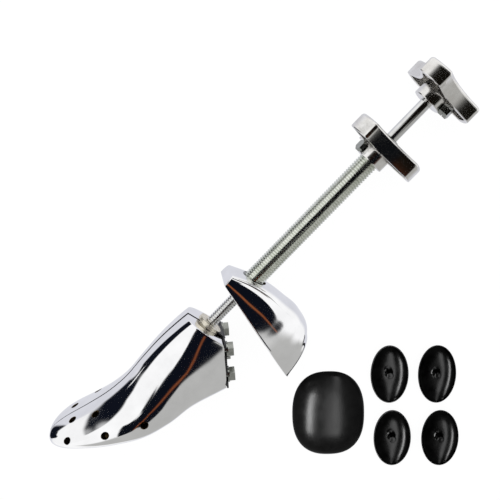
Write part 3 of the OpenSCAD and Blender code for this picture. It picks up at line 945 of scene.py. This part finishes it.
@dataclass
class Knob:
    """A three-lobed hollow knob with a round hub on its open side."""

    name: str
    node: str
    body: str
    at_x: float
    roll: float
    bore: float
    bore_end: float
    through: float = 0.0
    radius: float = 30.2
    scallop: float = 37.9
    scallop_at: float = 54.9
    rounding: float = 3.0
    thick: float = 12.6
    wall: float = 3.0
    floor: float = 9.1
    hub: float = 10.8
    hub_high: float = 8.6
    corner_steps: int = 10
    tip_steps: int = 18
    hollow_steps: int = 32
    # rings that close the face, as shares of its outline
    face_shares: tuple = (0.7, 0.4, 0.15, 0.0)

    def outline(self, inset: float) -> np.ndarray:
        """Outline of the star drawn in by a distance: lobe arcs, rounded corners and scallop arcs.

        Args:
            inset: how far it is drawn in.

        Returns:
            Closed outline.
        """
        rounding = self.rounding - inset * 2 / 3
        lobe, scallop = self.radius - inset, self.scallop + inset
        reach = lobe - rounding
        third = math.radians(120)
        cosine = (self.scallop_at ** 2 + reach ** 2 - (scallop + rounding) ** 2) / (
            2 * self.scallop_at * reach)
        off = third / 2 - math.acos(cosine)
        far = self.scallop_at * np.array([math.cos(third / 2), math.sin(third / 2)])
        upper = reach * np.array([math.cos(off), math.sin(off)])
        tangent = math.atan2(*(far - upper)[::-1])
        corner = np.linspace(off, tangent, self.corner_steps)
        high = upper + rounding * np.stack([np.cos(corner), np.sin(corner)], axis=-1)
        arc = np.linspace(-off, off, self.tip_steps)[1:-1]
        tip = lobe * np.stack([np.cos(arc), np.sin(arc)], axis=-1)
        low = high[::-1] * [1, -1]
        start = math.atan2(*(upper - far)[::-1]) % (2 * np.pi)
        sweep = 2 * (math.radians(240) - start)
        hollow = np.linspace(start, start + sweep, self.hollow_steps)[1:-1]
        dip = far + scallop * np.stack([np.cos(hollow), np.sin(hollow)], axis=-1)
        sector = np.concatenate([low, tip, high, dip])
        return np.concatenate([
            sector @ np.array([[math.cos(k * third), math.sin(k * third)],
                               [-math.sin(k * third), math.cos(k * third)]]) for k in range(3)])

    def rows(self) -> np.ndarray:
        """Rows of points from the bore over the hub, pocket, wall and rim to the closed face.

        The profile is in two parts with their roundings: circles as (radius, x), then star outlines as
        (drawn in by, x).

        Returns:
            Grid of points.
        """
        angle = np.arctan2(*self.outline(self.wall).T[::-1])
        circle = np.stack([np.cos(angle), np.sin(angle)], axis=-1)
        bore, hub, foot, floor, wall, top = (
            self.bore, self.hub, -self.hub_high, self.floor, self.wall, self.thick)
        rounds = [(bore, self.bore_end), (bore, foot + 0.4), (bore + 0.4, foot), (hub - 0.7, foot),
                  (hub - 0.2, foot + 0.2), (hub, foot + 0.7), (hub, floor - 0.7), (hub + 0.7, floor)]
        stars = [(wall + 0.8, floor), (wall, floor - 0.8), (wall - 0.1, 0.5), (wall - 0.45, 0.05),
                 (wall - 0.8, 0.0), (0.7, 0.0), (0.2, 0.2), (0.0, 0.7), (0.0, top - 2.6),
                 (0.15, top - 1.7), (0.55, top - 0.95), (1.2, top - 0.4), (2.0, top - 0.1), (2.8, top)]

        def ring(x: float, outline: np.ndarray) -> np.ndarray:
            """Outline as a row of points at one place along the axis."""
            return np.column_stack([np.full(len(outline), x), outline])

        grid = [ring(x, r * circle) for r, x in held(rounds)]
        grid += [ring(x, self.outline(inset)) for inset, x in held(stars)]
        if self.through:
            hole = self.through
            grid += [ring(x, r * circle) for r, x in held([
                (hole + 0.6, top), (hole, top - 0.6), (hole, self.bore_end)])]
        else:
            edge = grid[-1]
            grid += [ring(edge[0, 0], edge[:, 1:] * share) for share in self.face_shares]
            grid.insert(0, ring(grid[0][0, 0], 0 * circle))
        return np.array(grid)

    def build(self, axes: SpindleAxes, wardrobe: Wardrobe) -> None:
        """Build the knob and lay it in the frame.

        Args:
            axes: the spindle's axes.
            wardrobe: the finishes.
        """
        rows = self.rows()
        roll = math.radians(self.roll)
        y, z = -rows[..., 2], rows[..., 1]
        points = np.stack([self.at_x + rows[..., 0], y * math.cos(roll) - z * math.sin(roll),
                           y * math.sin(roll) + z * math.cos(roll)], axis=-1)
        shell = Shell()
        shell.grid(points, around=True, closed=bool(self.through))
        knob = shell.make(self.name)
        wardrobe.dress(knob, Finishes.KNOB)
        axes.lay(knob)
        settle(knob, self.body, "knob_cast", self.node)


@dataclass
class Threads:
    """The threaded rod and the coarse drive tube that runs over it."""

    pitch: float = 2.0
    rod_radius: float = 4.25
    rod_start: float = -29.9
    thread_end: float = 60.0
    rod_end: float = 238.25
    rod_depth: float = 0.75
    # end of the rod in the wedge: its radius, its end, its end's bevel, and the pin's groove
    journal: float = 3.0
    journal_end: float = -40.0
    journal_bevel: float = 0.3
    groove: float = 2.2
    groove_x: tuple = (-37.1, -34.9)
    shoulder_x: float = -29.9
    rod_bevel: float = 0.5
    rod_columns: int = 40
    tube_radius: float = 7.5
    tube_start: float = 29.0
    tube_end: float = 181.25
    tube_depth: float = 0.85
    tube_bore: float = 4.55
    tube_columns: int = 56
    rows_per_turn: int = 16
    # half widths of a crest and of a root's start, as shares of half a pitch
    crest: float = 0.42
    root: float = 0.94

    def helix(
        self, start: float, end: float, radius: float, depth: float, columns: int
    ) -> np.ndarray:
        """Right-handed thread: the radius falls from crest to root and rises again once a pitch, and the
        phase moves on by one pitch a turn. The depth fades out over the first and last turn.

        Args:
            start: start along the spindle.
            end: end along the spindle.
            radius: radius over the crests.
            depth: depth of the roots.
            columns: steps round the axis.

        Returns:
            Grid of points.
        """
        rows = int((end - start) / self.pitch * self.rows_per_turn)
        x = np.linspace(start, end, rows)[:, None]
        turn = np.linspace(0, 2 * np.pi, columns, endpoint=False)[None]
        phase = (x / self.pitch - turn / (2 * np.pi)) % 1
        ramp = np.clip((np.abs(2 * phase - 1) - self.crest) / (self.root - self.crest), 0, 1)
        fade = np.clip(np.minimum(x - start, end - x) / self.pitch, 0, 1)
        r = radius - depth * fade * ramp * ramp * (3 - 2 * ramp)
        return np.stack([x + 0 * turn, r * np.cos(turn), r * np.sin(turn)], axis=-1)

    def build(self, axes: SpindleAxes, wardrobe: Wardrobe) -> None:
        """Build the rod and the tube and lay them in the frame.

        Args:
            axes: the spindle's axes.
            wardrobe: the finishes.
        """
        tail, bevel, thin, columns = self.journal_end, self.journal_bevel, self.journal, self.rod_columns
        low, high = self.groove_x
        foot = held([
            (tail, 0.0), (tail, thin - bevel), (tail + bevel, thin), (low, thin), (low, self.groove),
            (high, self.groove), (high, thin), (self.shoulder_x, thin), (self.rod_start, self.rod_radius)])
        shank = held([
            (self.thread_end, self.rod_radius), (self.rod_end - self.rod_bevel, self.rod_radius),
            (self.rod_end, self.rod_radius - self.rod_bevel), (self.rod_end, 0.0)])
        turns = self.helix(self.rod_start, self.thread_end, self.rod_radius, self.rod_depth, columns)
        shell = Shell()
        shell.grid(np.concatenate([turned(foot, columns), turns[1:-1], turned(shank, columns)]),
                   around=True)
        rod = shell.make("threaded_rod")
        wardrobe.dress(rod, Finishes.ROD)
        axes.lay(rod)
        settle(rod, "width_spindle", "rod", "spindle_rod")
        start, end, bore, columns = self.tube_start, self.tube_end, self.tube_bore, self.tube_columns
        mouth = held([(start, self.tube_radius), (start, bore)])[::-1]
        back = held([(end, self.tube_radius), (end, bore), (start, bore)])
        outer = self.helix(start, end, self.tube_radius, self.tube_depth, columns)
        shell = Shell()
        shell.grid(np.concatenate([turned(mouth, columns)[:-1], outer, turned(back, columns)[1:-1]]),
                   around=True, closed=True)
        tube = shell.make("coarse_threaded_tube")
        wardrobe.dress(tube, Finishes.TUBE)
        axes.lay(tube)
        settle(tube, "length_tube", "tube", "drive_tube")


@dataclass
class InstepPad:
    """The loose domed pad: a thin shell with a rounded-square outline."""

    wide: float = 58.4
    long: float = 72.6
    high: float = 11.0
    wall: float = 2.6
    taper: float = 0.02
    square: float = 2.45
    # power of the outline's shrinking, and power that closes the rows up towards the middle
    crown: float = 0.8
    spacing: float = 1.3
    rows: int = 60
    foot_rows: int = 7
    x: float = -48.327
    y: float = -31.105
    turn: float = -45.0
    columns: int = 120

    def dome(self, shares: np.ndarray, wide: float, long: float, high: float) -> np.ndarray:
        """Dome over a rounded-square outline: at an angle t up the dome the outline shrinks by the cosine
        of t to a power and rises by the height times the sine of t.

        Args:
            shares: angles t up the dome, as shares of a quarter turn.
            wide: width at the base.
            long: length at the base.
            high: height.

        Returns:
            Grid of points.
        """
        angle = np.linspace(0, 2 * np.pi, self.columns, endpoint=False)
        power = self.square
        reach = (np.abs(np.cos(angle)) ** power + np.abs(np.sin(angle)) ** power) ** (-1 / power)
        across, up = reach * np.cos(angle), reach * np.sin(angle)
        lean = 1 - self.taper * np.sign(up) * np.abs(up) ** (power / 2)
        rise = (shares * np.pi / 2)[:, None]
        shrink = np.abs(np.cos(rise)) ** self.crown
        shrink[shares >= 1] = 0
        return np.stack([
            wide / 2 * shrink * across * lean, long / 2 * shrink * up, high * np.sin(rise) + 0 * up],
            axis=-1)

    def build(self, wardrobe: Wardrobe) -> None:
        """Build the pad on the surface.

        Args:
            wardrobe: the finishes.
        """
        shares = 1 - (1 - np.linspace(0, 1, self.rows)) ** self.spacing
        wide, long, high, wall = self.wide, self.long, self.high, self.wall
        outer = self.dome(shares, wide, long, high)
        inner = self.dome(shares, wide - 2 * wall, long - 2 * wall, high - wall)
        foot = bend(inner[0], (inner[0] + outer[0]) / 2, outer[0], self.foot_rows)
        shell = Shell()
        shell.grid(np.concatenate([inner[::-1], foot[1:-1], outer]), around=True)
        pad = shell.make("domed_instep_pad")
        wardrobe.dress(pad, Finishes.PAD)
        place(pad, self.x, self.y, self.turn)
        settle(pad, "pad", "pad", "instep_pad")


def place(piece: bpy.types.Object, x: float, y: float, turn: float) -> None:
    """Put a loose piece on the surface.

    Args:
        piece: piece drawn in millimetres about its own middle.
        x: its place, in millimetres.
        y: its place, in millimetres.
        turn: its turn in degrees.
    """
    spin = Matrix.Rotation(math.radians(turn), 4, "Z")
    piece.data.transform(Matrix.Translation((x * MM, y * MM, 0)) @ spin @ Matrix.Scale(MM, 4))
    smooth(piece)


@dataclass
class BunionPlug:
    """A loose plug: an oval dish on its crown with a rounded lip and a peg in its middle."""

    number: int
    x: float
    y: float
    turn: float = -44.0
    wide: float = 30.2
    long: float = 48.8
    high: float = 6.5
    wall: float = 2.2
    lip: float = 1.8
    foot: float = 0.34
    # how much the dish inside is narrower than the crown at its foot, as a share of the outline
    foot_step: float = 0.1
    peg: float = 2.75
    peg_high: float = 9.5
    dome_rows: int = 18
    columns: int = 96
    # how far the lip's top corners are rounded, inwards and down
    lip_round: tuple = (0.15, 0.25)

    def rows(self) -> list[tuple[float, float, float]]:
        """Rows from the crown over the lip to the peg. At an angle t the crown's outline grows with the
        sine of t, and the crown rises with one minus its cosine.

        Returns:
            Rows of (share of the outline, drawn in by, height).
        """
        rise = np.linspace(0, np.pi / 2, self.dome_rows)
        foot, high, wall, lip = self.foot, self.high, self.wall, self.lip / 2
        aside, down = self.lip_round
        shell = [(foot + (1 - foot) * math.sin(t), 0.0, high * (1 - math.cos(t))) for t in rise[:-1]]
        edge = [(1.0, 0.0, high - down), (1.0, aside, high), (1.0, lip / 2, high),
                (1.0, lip - aside, high), (1.0, lip, high - down)]
        inner = foot - self.foot_step
        dish = [(inner + (1 - inner) * math.sin(t), lip, wall + (high - wall) * (1 - math.cos(t)))
                for t in rise[-2::-1]]
        return shell + edge + dish

    def build(self, wardrobe: Wardrobe) -> None:
        """Build the plug on the surface.

        Args:
            wardrobe: the finishes.
        """
        angle = np.linspace(0, 2 * np.pi, self.columns, endpoint=False)
        circle = np.stack([np.cos(angle), np.sin(angle), 0 * angle], axis=-1)
        half = np.array([self.wide / 2, self.long / 2, 0.0])
        grid = [circle * (share * (half - [inset, inset, 0])) + [0, 0, z]
                for share, inset, z in self.rows()]
        # the peg with its root, rounded top and slightly hollow end: (radius, height)
        thin, root, top = self.peg, self.wall, self.peg_high
        peg = held([(thin + 1.0, root), (thin + 0.25, root + 0.3), (thin, root + 1.0), (thin, top - 0.6),
                    (thin - 0.2, top - 0.2), (thin - 0.6, top), (0.8, top - 0.05), (0.0, top - 0.1)])
        grid += [circle * r + [0, 0, z] for r, z in peg]
        grid.insert(0, 0 * circle)
        shell = Shell()
        shell.grid(np.array(grid), around=True)
        plug = shell.make(f"oval_bunion_plug_{self.number}")
        wardrobe.dress(plug, Finishes.PLUG)
        place(plug, self.x, self.y, self.turn)
        settle(plug, f"plug_{self.number}", "plug", f"bunion_plug_{self.number}")


@dataclass(frozen=True)
class Patch:
    """A patch of paint with a soft edge: its colour, how far the edge fades, and its outline."""

    colour: str
    soft: float
    outline: tuple
    cover: float = 1.0

    def share(self, points: np.ndarray) -> np.ndarray:
        """Share of paint at each point: full inside the outline, none outside, and an even S-curve of the
        distance to the outline across the soft edge.

        Args:
            points: places, as rows of two numbers.

        Returns:
            The shares.
        """
        start = np.array(self.outline, dtype=float)
        end = np.roll(start, -1, axis=0)
        side = end - start
        away = points[:, None] - start
        along = np.clip((away * side).sum(-1) / (side ** 2).sum(-1), 0, 1)
        distance = np.linalg.norm(away - along[..., None] * side, axis=-1).min(axis=1)
        y = points[:, None, 1]
        meets = (start[:, 1] > y) != (end[:, 1] > y)
        rise = np.where(side[:, 1] == 0, 1, side[:, 1])
        right = points[:, None, 0] < start[:, 0] + (y - start[:, 1]) / rise * side[:, 0]
        inside = (meets & right).sum(axis=1) % 2 == 1
        level = np.clip(np.where(inside, distance, -distance) / self.soft + 0.5, 0, 1)
        return self.cover * level ** 2 * (3 - 2 * level)


def cells(number: np.ndarray) -> np.ndarray:
    """Faces of a grid of numbered points.

    Args:
        number: numbers of the points, row by row.

    Returns:
        The four point numbers of every cell.
    """
    low, high = number[:-1], number[1:]
    return np.stack([low[:, :-1], high[:, :-1], high[:, 1:], low[:, 1:]], axis=-1).reshape(-1, 4)


@dataclass(frozen=True)
class Board:
    """A painted board that only shiny surfaces see: its height, span and patches, in mm.

    An upright board stands at y = height and is painted along x and z.
    """

    name: str
    height: float
    low: tuple
    high: tuple
    patches: tuple
    step: float = 2.0
    upright: bool = False

    def build(self) -> None:
        """Build the board and keep only its painted part."""
        x = np.arange(self.low[0], self.high[0], self.step)
        y = np.arange(self.low[1], self.high[1], self.step)
        flat = np.stack(np.meshgrid(x, y, indexing="ij"), axis=-1)
        points = np.insert(flat, 1 if self.upright else 2, self.height, axis=-1) * MM
        bare = np.zeros((flat.shape[0] * flat.shape[1], 4))
        paint = painted(flat.reshape(-1, 2), bare, self.patches)
        quads = cells(np.arange(len(paint)).reshape(flat.shape[:2]))
        shown = (paint[quads, 3] > 0).any(axis=1)
        hang(self.name, points.reshape(-1, 3), quads[shown], paint)


def painted(places: np.ndarray, paint: np.ndarray, patches: tuple) -> np.ndarray:
    """Lay patches of paint over each other.

    Args:
        places: places, as rows of two numbers.
        paint: colour and cover already there.
        patches: patches from the lowest to the uppermost.

    Returns:
        Colour and cover at each place.
    """
    for patch in patches:
        share = patch.share(places)[:, None]
        colour = np.array(linear(patch.colour))
        cover = paint[:, 3:] * (1 - share) + share
        blend = paint[:, :3] * paint[:, 3:] * (1 - share) + colour[:3] * share
        paint = np.concatenate([blend / np.maximum(cover, 1e-6), cover], axis=1)
    return paint


def hang(name: str, points: np.ndarray, quads: np.ndarray, paint: np.ndarray) -> None:
    """Hang a painted surface that only shiny surfaces see.

    Args:
        name: its name.
        points: its points.
        quads: its faces.
        paint: colour and cover at each point.
    """
    mesh = bpy.data.meshes.new(name)
    mesh.from_pydata(points, [], quads.tolist())
    layer = mesh.color_attributes.new("paint", "FLOAT_COLOR", "POINT")
    layer.data.foreach_set("color", paint.astype(np.float32).ravel())
    cloth = bpy.data.materials.new(f"painted_{name}")
    cloth.use_nodes = True
    cloth.cycles.emission_sampling = "NONE"
    tree = cloth.node_tree
    tree.nodes.clear()
    read = add(tree, "ShaderNodeAttribute", attribute_name="paint")
    glow = add(tree, "ShaderNodeEmission", {"Color": read.outputs["Color"], "Strength": 1.0})
    clear = add(tree, "ShaderNodeBsdfTransparent")
    mixed = add(tree, "ShaderNodeMixShader", {
        0: read.outputs["Alpha"], 1: clear.outputs[0], 2: glow.outputs[0]})
    add(tree, "ShaderNodeOutputMaterial", {"Surface": mixed.outputs[0]})
    mesh.materials.append(cloth)
    piece = bpy.data.objects.new(name, mesh)
    bpy.context.scene.collection.objects.link(piece)
    piece.visible_camera = piece.visible_diffuse = False
    piece.visible_shadow = piece.visible_transmission = False


@dataclass(frozen=True)
class Lamp:
    """A soft lamp that faces the pad: the ends of its middle line and its width in metres, its power in
    watts, and whether it lights the plastic pieces alone."""

    name: str
    start: tuple
    end: tuple
    width: float
    power: float
    plastic_only: bool = True

    def hang(self, facing: tuple, plastic: bpy.types.Collection) -> None:
        """Hang the lamp.

        Args:
            facing: the place it faces.
            plastic: the plastic pieces.
        """
        light = bpy.data.lights.new(self.name, "AREA")
        light.shape = "RECTANGLE"
        along = Vector(self.end) - Vector(self.start)
        light.size, light.size_y = self.width, along.length
        light.energy = self.power
        lamp = bpy.data.objects.new(self.name, light)
        middle = (Vector(self.start) + Vector(self.end)) / 2
        back = (middle - Vector(facing)).normalized()
        side = along.normalized().cross(back).normalized()
        turn = Matrix((side, back.cross(side), back)).transposed()
        lamp.matrix_world = Matrix.Translation(middle) @ turn.to_4x4()
        lamp.visible_glossy = self.plastic_only
        if self.plastic_only:
            lamp.light_linking.receiver_collection = plastic
        bpy.context.scene.collection.objects.link(lamp)


@dataclass
class Studio:
    """Camera, floor, soft lamps and the painted tent that the chrome reflects."""

    camera_at: tuple = (0.10107, 0.19600, 0.53860)
    right: tuple = (0.6876, -0.7261, -0.0025)
    up: tuple = (0.7058, 0.6693, -0.2322)
    focal_px: float = 719.786
    frame_px: float = 500.0
    sensor_mm: float = 36.0
    clip_start: float = 0.01
    floor_half: float = 3.0
    floor_cells: int = 8
    # how far the floor lies below the pieces, in metres
    floor_gap: float = 0.0002
    floor_paper: str = "#F2F2F2"
    # brightness of the floor in the camera's view, and its share against the floor's own shade
    floor_glow: float = 1.04
    floor_glow_share: float = 0.9
    room_light: float = 0.75
    tent_radius: float = 15.0
    tent_rows: int = 181
    tent_columns: int = 240
    tent_white: tuple = (1.04, 1.04, 1.04, 1.0)
    tent_below: str = "#DEDFE6"
    # degrees from straight up where the tent's white starts to fade, and how many the fade takes
    tent_fade: tuple = (98.0, 24.0)
    pad_at: tuple = (-0.05, -0.02, 0.01)
    lamps: tuple = (
        Lamp("left_strip", (-0.24, 0.19, 0.97), (-0.70, -0.24, 0.74), 0.17, 80.0),
        Lamp("right_strip", (0.07, -0.18, 0.99), (-0.40, -0.59, 0.75), 0.15, 18.0),
        Lamp("left_strip_far", (-0.24, 0.19, 0.97), (0.22, 0.86, 0.40), 0.17, 50.0),
        Lamp("right_strip_far", (0.07, -0.18, 0.99), (0.78, 0.41, 0.35), 0.15, 15.0),
        Lamp("overhead_softbox", (-0.1, 0.8, 1.1), (0.8, 0.8, 1.1), 0.9, 6.0, plastic_only=False),
    )
    # outlines in degrees from straight up, along X and Y
    tent: tuple = (
        Patch("#BABAB8", 18.0, ((-60, -8), (0, -12), (12, -24), (30, -50), (36, -100), (0, -140),
                                (-70, -130))),
        Patch("#10131D", 5.0, ((4, 70), (4, 92), (3, 94), (0, 99), (-5, 107), (-13, 113), (-25, 116),
                               (-38, 113), (-50, 108), (-58, 105), (-58, 94), (-50, 85), (-42, 79),
                               (-30, 77), (-15, 77), (-5, 72))),
    )
    # outlines in millimetres
    boards: tuple = (
        Board("long_flag", 160.0, (-260, -40), (150, 260), (
            Patch("#0C0F17", 3.5, ((-114, 60), (-115, 104), (-118, 123), (-126, 131), (-132, 142),
                                   (-135, 146), (-138, 138), (-146, 120), (-161, 95), (-175, 73),
                                   (-150, 60))),
            Patch("#0D1019", 4.0, ((-132, 56), (-128, 34), (-110, 31), (-103, 37), (-98, 38), (-90, 33),
                                   (-80, 25), (-72, 19), (-60, 15), (-57, 16), (-57, 41), (-40, 33),
                                   (-20, 27), (-4, 24), (6, 22), (18, 21), (29, 19), (50, 19), (60, 21),
                                   (72, 30), (80, 48), (95, 86), (150, 90), (150, 150), (-48, 150),
                                   (-60, 136), (-70, 116), (-78, 106), (-88, 99), (-100, 99),
                                   (-110, 109), (-114, 112), (-126, 112), (-134, 90))),
            Patch("#7C4429", 2.5, ((-142, 64), (-120, 78), (-108, 65), (-97, 51), (-88, 47), (-78, 53),
                                   (-66, 66), (-57, 78), (-57, 70), (-67, 58), (-78, 46), (-88, 41),
                                   (-98, 45), (-109, 58), (-120, 71), (-140, 60))),
            Patch("#8A4E2E", 3.0, ((-33, 100), (-25, 60), (-16, 40), (-14, 27), (-9, 26), (-10, 40),
                                   (-18, 62), (-22, 100))),
        )),
        Board("knob_flag", 100.0, (100, -20), (240, 240), (
            Patch("#15130F", 14.0, ((112, 48), (150, 48), (150, 150), (112, 150))),
            Patch("#15130F", 40.0, ((160, 16), (236, 16), (236, 182), (160, 182))),
            Patch("#120E0C", 8.0, ((140, 72), (186, 72), (186, 140), (140, 140))),
            Patch("#5A3322", 10.0, ((112, 50), (130, 50), (130, 112), (112, 112)), cover=0.7),
        )),
        Board("toe_floor", 0.3, (-420, 130), (-170, 480), (
            Patch("#FFFFFF", 8.0, ((-203, 205), (-195, 240), (-192, 290), (-194, 308), (-225, 316),
                                   (-300, 330), (-410, 340), (-410, 240), (-300, 190), (-262, 215))),
            Patch("#10131D", 7.0, ((-192, 236), (-196, 205), (-200, 190), (-205, 178), (-209, 165),
                                   (-214, 155), (-222, 148), (-235, 146), (-250, 160), (-262, 180),
                                   (-268, 220), (-272, 262), (-262, 285), (-250, 270), (-244, 245),
                                   (-236, 225), (-226, 216), (-216, 208), (-207, 215), (-198, 238))),
        )),
        Board("toe_card", 160.0, (-260, 26), (-156, 116), (
            Patch("#FFFFFF", 4.0, ((-160, 30), (-160, 112), (-256, 112), (-256, 60), (-214, 46), (-200, 43),
                                   (-198, 36), (-197, 30))),
        ), step=1.0, upright=True),
        Board("thread_flag", 56.0, (56, 70), (166, 120), (
            Patch("#0E1013", 3.0, ((66, 87), (150, 87), (150, 102), (66, 102))),
        ), step=1.0),
    )

    def camera(self) -> None:
        """Set the camera where the photograph was taken from."""
        lens = bpy.data.cameras.new("camera")
        lens.sensor_width = self.sensor_mm
        lens.sensor_fit = "HORIZONTAL"
        lens.lens = self.focal_px / self.frame_px * self.sensor_mm
        lens.clip_start = self.clip_start
        view = bpy.data.objects.new("camera", lens)
        right = Vector(self.right).normalized()
        back = right.cross(Vector(self.up)).normalized()
        turn = Matrix((right, back.cross(right), back)).transposed()
        view.matrix_world = Matrix.Translation(self.camera_at) @ turn.to_4x4()
        bpy.context.scene.collection.objects.link(view)
        bpy.context.scene.camera = view

    def floor(self) -> None:
        """Lay the pale floor, whose shadow stays faint in the camera's view."""
        shell = Shell()
        side = np.linspace(-self.floor_half, self.floor_half, self.floor_cells + 1)
        x, y = np.meshgrid(side, side, indexing="ij")
        shell.grid(np.stack([x, y, 0 * x - self.floor_gap], axis=-1))
        floor = shell.make("floor")
        if floor.data.polygons[0].normal.z < 0:
            floor.data.flip_normals()
        paper = bpy.data.materials.new("white_paper_sweep")
        paper.use_nodes = True
        tree = paper.node_tree
        tree.nodes.clear()
        path = add(tree, "ShaderNodeLightPath")
        matte = add(tree, "ShaderNodeBsdfDiffuse", {"Color": linear(self.floor_paper)})
        glow = add(tree, "ShaderNodeEmission", {"Color": (1, 1, 1, 1), "Strength": self.floor_glow})
        seen = add(tree, "ShaderNodeMath", {0: path.outputs["Is Camera Ray"], 1: self.floor_glow_share},
                   operation="MULTIPLY")
        mixed = add(tree, "ShaderNodeMixShader", {
            0: seen.outputs[0], 1: matte.outputs[0], 2: glow.outputs[0]})
        add(tree, "ShaderNodeOutputMaterial", {"Surface": mixed.outputs[0]})
        floor.data.materials.append(paper)
        floor.visible_glossy = False

    def sky(self) -> None:
        """Light the room evenly and keep it white to the camera."""
        sky = bpy.data.worlds.new("room")
        bpy.context.scene.world = sky
        sky.use_nodes = True
        tree = sky.node_tree
        tree.nodes.clear()
        path = add(tree, "ShaderNodeLightPath")
        plain = add(tree, "ShaderNodeBackground", {"Color": (1, 1, 1, 1), "Strength": self.room_light})
        seen = add(tree, "ShaderNodeBackground", {"Color": (1, 1, 1, 1), "Strength": 1.0})
        last = add(tree, "ShaderNodeMixShader", {
            0: path.outputs["Is Camera Ray"], 1: plain.outputs[0], 2: seen.outputs[0]})
        add(tree, "ShaderNodeOutputWorld", {"Surface": last.outputs[0]})

    def dome(self) -> None:
        """Build the tent: a sphere painted white above, fading to a pale floor colour below."""
        rise = np.linspace(0, 180, self.tent_rows)[:, None]
        turn = np.linspace(0, 2 * np.pi, self.tent_columns + 1)[None, :-1]
        flat = np.stack([rise * np.cos(turn), rise * np.sin(turn)], axis=-1).reshape(-1, 2)
        down = np.radians(rise)
        points = self.tent_radius * np.stack([
            np.sin(down) * np.cos(turn), np.sin(down) * np.sin(turn), np.cos(down) + 0 * turn], axis=-1)
        start, length = self.tent_fade
        below = np.clip((np.hypot(*flat.T) - start) / length, 0, 1)[:, None]
        paint = (1 - below) * np.array(self.tent_white) + below * np.array(linear(self.tent_below))
        paint = painted(flat, paint, self.tent)
        number = np.arange(len(flat)).reshape(self.tent_rows, self.tent_columns)
        quads = cells(np.concatenate([number, number[:, :1]], axis=1))
        hang("tent", points.reshape(-1, 3), quads, paint)

    def build(self) -> None:
        """Build the whole studio, with strips of light for the plastic pieces alone."""
        self.camera()
        self.floor()
        self.sky()
        self.dome()
        for board in self.boards:
            board.build()
        plastic = bpy.data.collections.new("plastic_pieces")
        for name in ("domed_instep_pad", *(f"oval_bunion_plug_{number}" for number in range(1, 5))):
            plastic.objects.link(bpy.data.objects[name])
        for lamp in self.lamps:
            lamp.hang(self.pad_at, plastic)


def corners(low: Vector, high: Vector) -> dict[str, list[float]]:
    """Put a box into plain lists of numbers.

    Args:
        low: its low corner.
        high: its high corner.

    Returns:
        Both corners by name.
    """
    return {"low": [float(v) for v in low], "high": [float(v) for v in high]}


# middles of the four plugs as laid out beside the pad, and the step from that layout to the frame
PLUG_PLACES = ((58.3, -137.4), (84.3, -164.6), (21.4, -178.7), (48.0, -206.7))
PLUG_STEP = (-47.927, 96.995)

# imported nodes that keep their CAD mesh, by finish
NODE_FINISHES = {
    Finishes.BUSH: ("throat_bush",),
    Finishes.PLATE: ("rear_plate",),
    Finishes.FASTENER: (
        "plate_bolts_near", "plate_bolts_far", "plate_washers_near", "plate_washers_far",
        "retaining_rings", "width_knob_screw", "length_knob_screw"),
    Finishes.INNER: ("spreader_wedge", "wedge_pin", "guide_dowels", "heel_insert"),
}


def main() -> None:
    """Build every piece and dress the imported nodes."""
    logging.basicConfig(level=logging.INFO, format="%(message)s")
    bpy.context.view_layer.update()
    bpy.context.scene.view_settings.view_transform = "Standard"
    axes = SpindleAxes.read()
    wardrobe = Wardrobe()
    LastHalves().build(axes, wardrobe)
    HeelBlock().build(axes, wardrobe)
    Threads().build(axes, wardrobe)
    Knob(name="length_star_knob", node="length_knob", body="length_tube", at_x=172.6, roll=26.5,
         bore=7.52, bore_end=8.72, through=4.55).build(axes, wardrobe)
    Knob(name="width_star_knob", node="width_knob", body="width_spindle", at_x=228.7, roll=168.4,
         bore=4.27, bore_end=9.62).build(axes, wardrobe)
    InstepPad().build(wardrobe)
    for number, (x, y) in enumerate(PLUG_PLACES, start=1):
        BunionPlug(number, x + PLUG_STEP[0], y + PLUG_STEP[1]).build(wardrobe)
    for finish, nodes in NODE_FINISHES.items():
        wardrobe.dress_nodes(finish, *nodes)
    Studio().build()


if __name__ == "__main__":
    main()
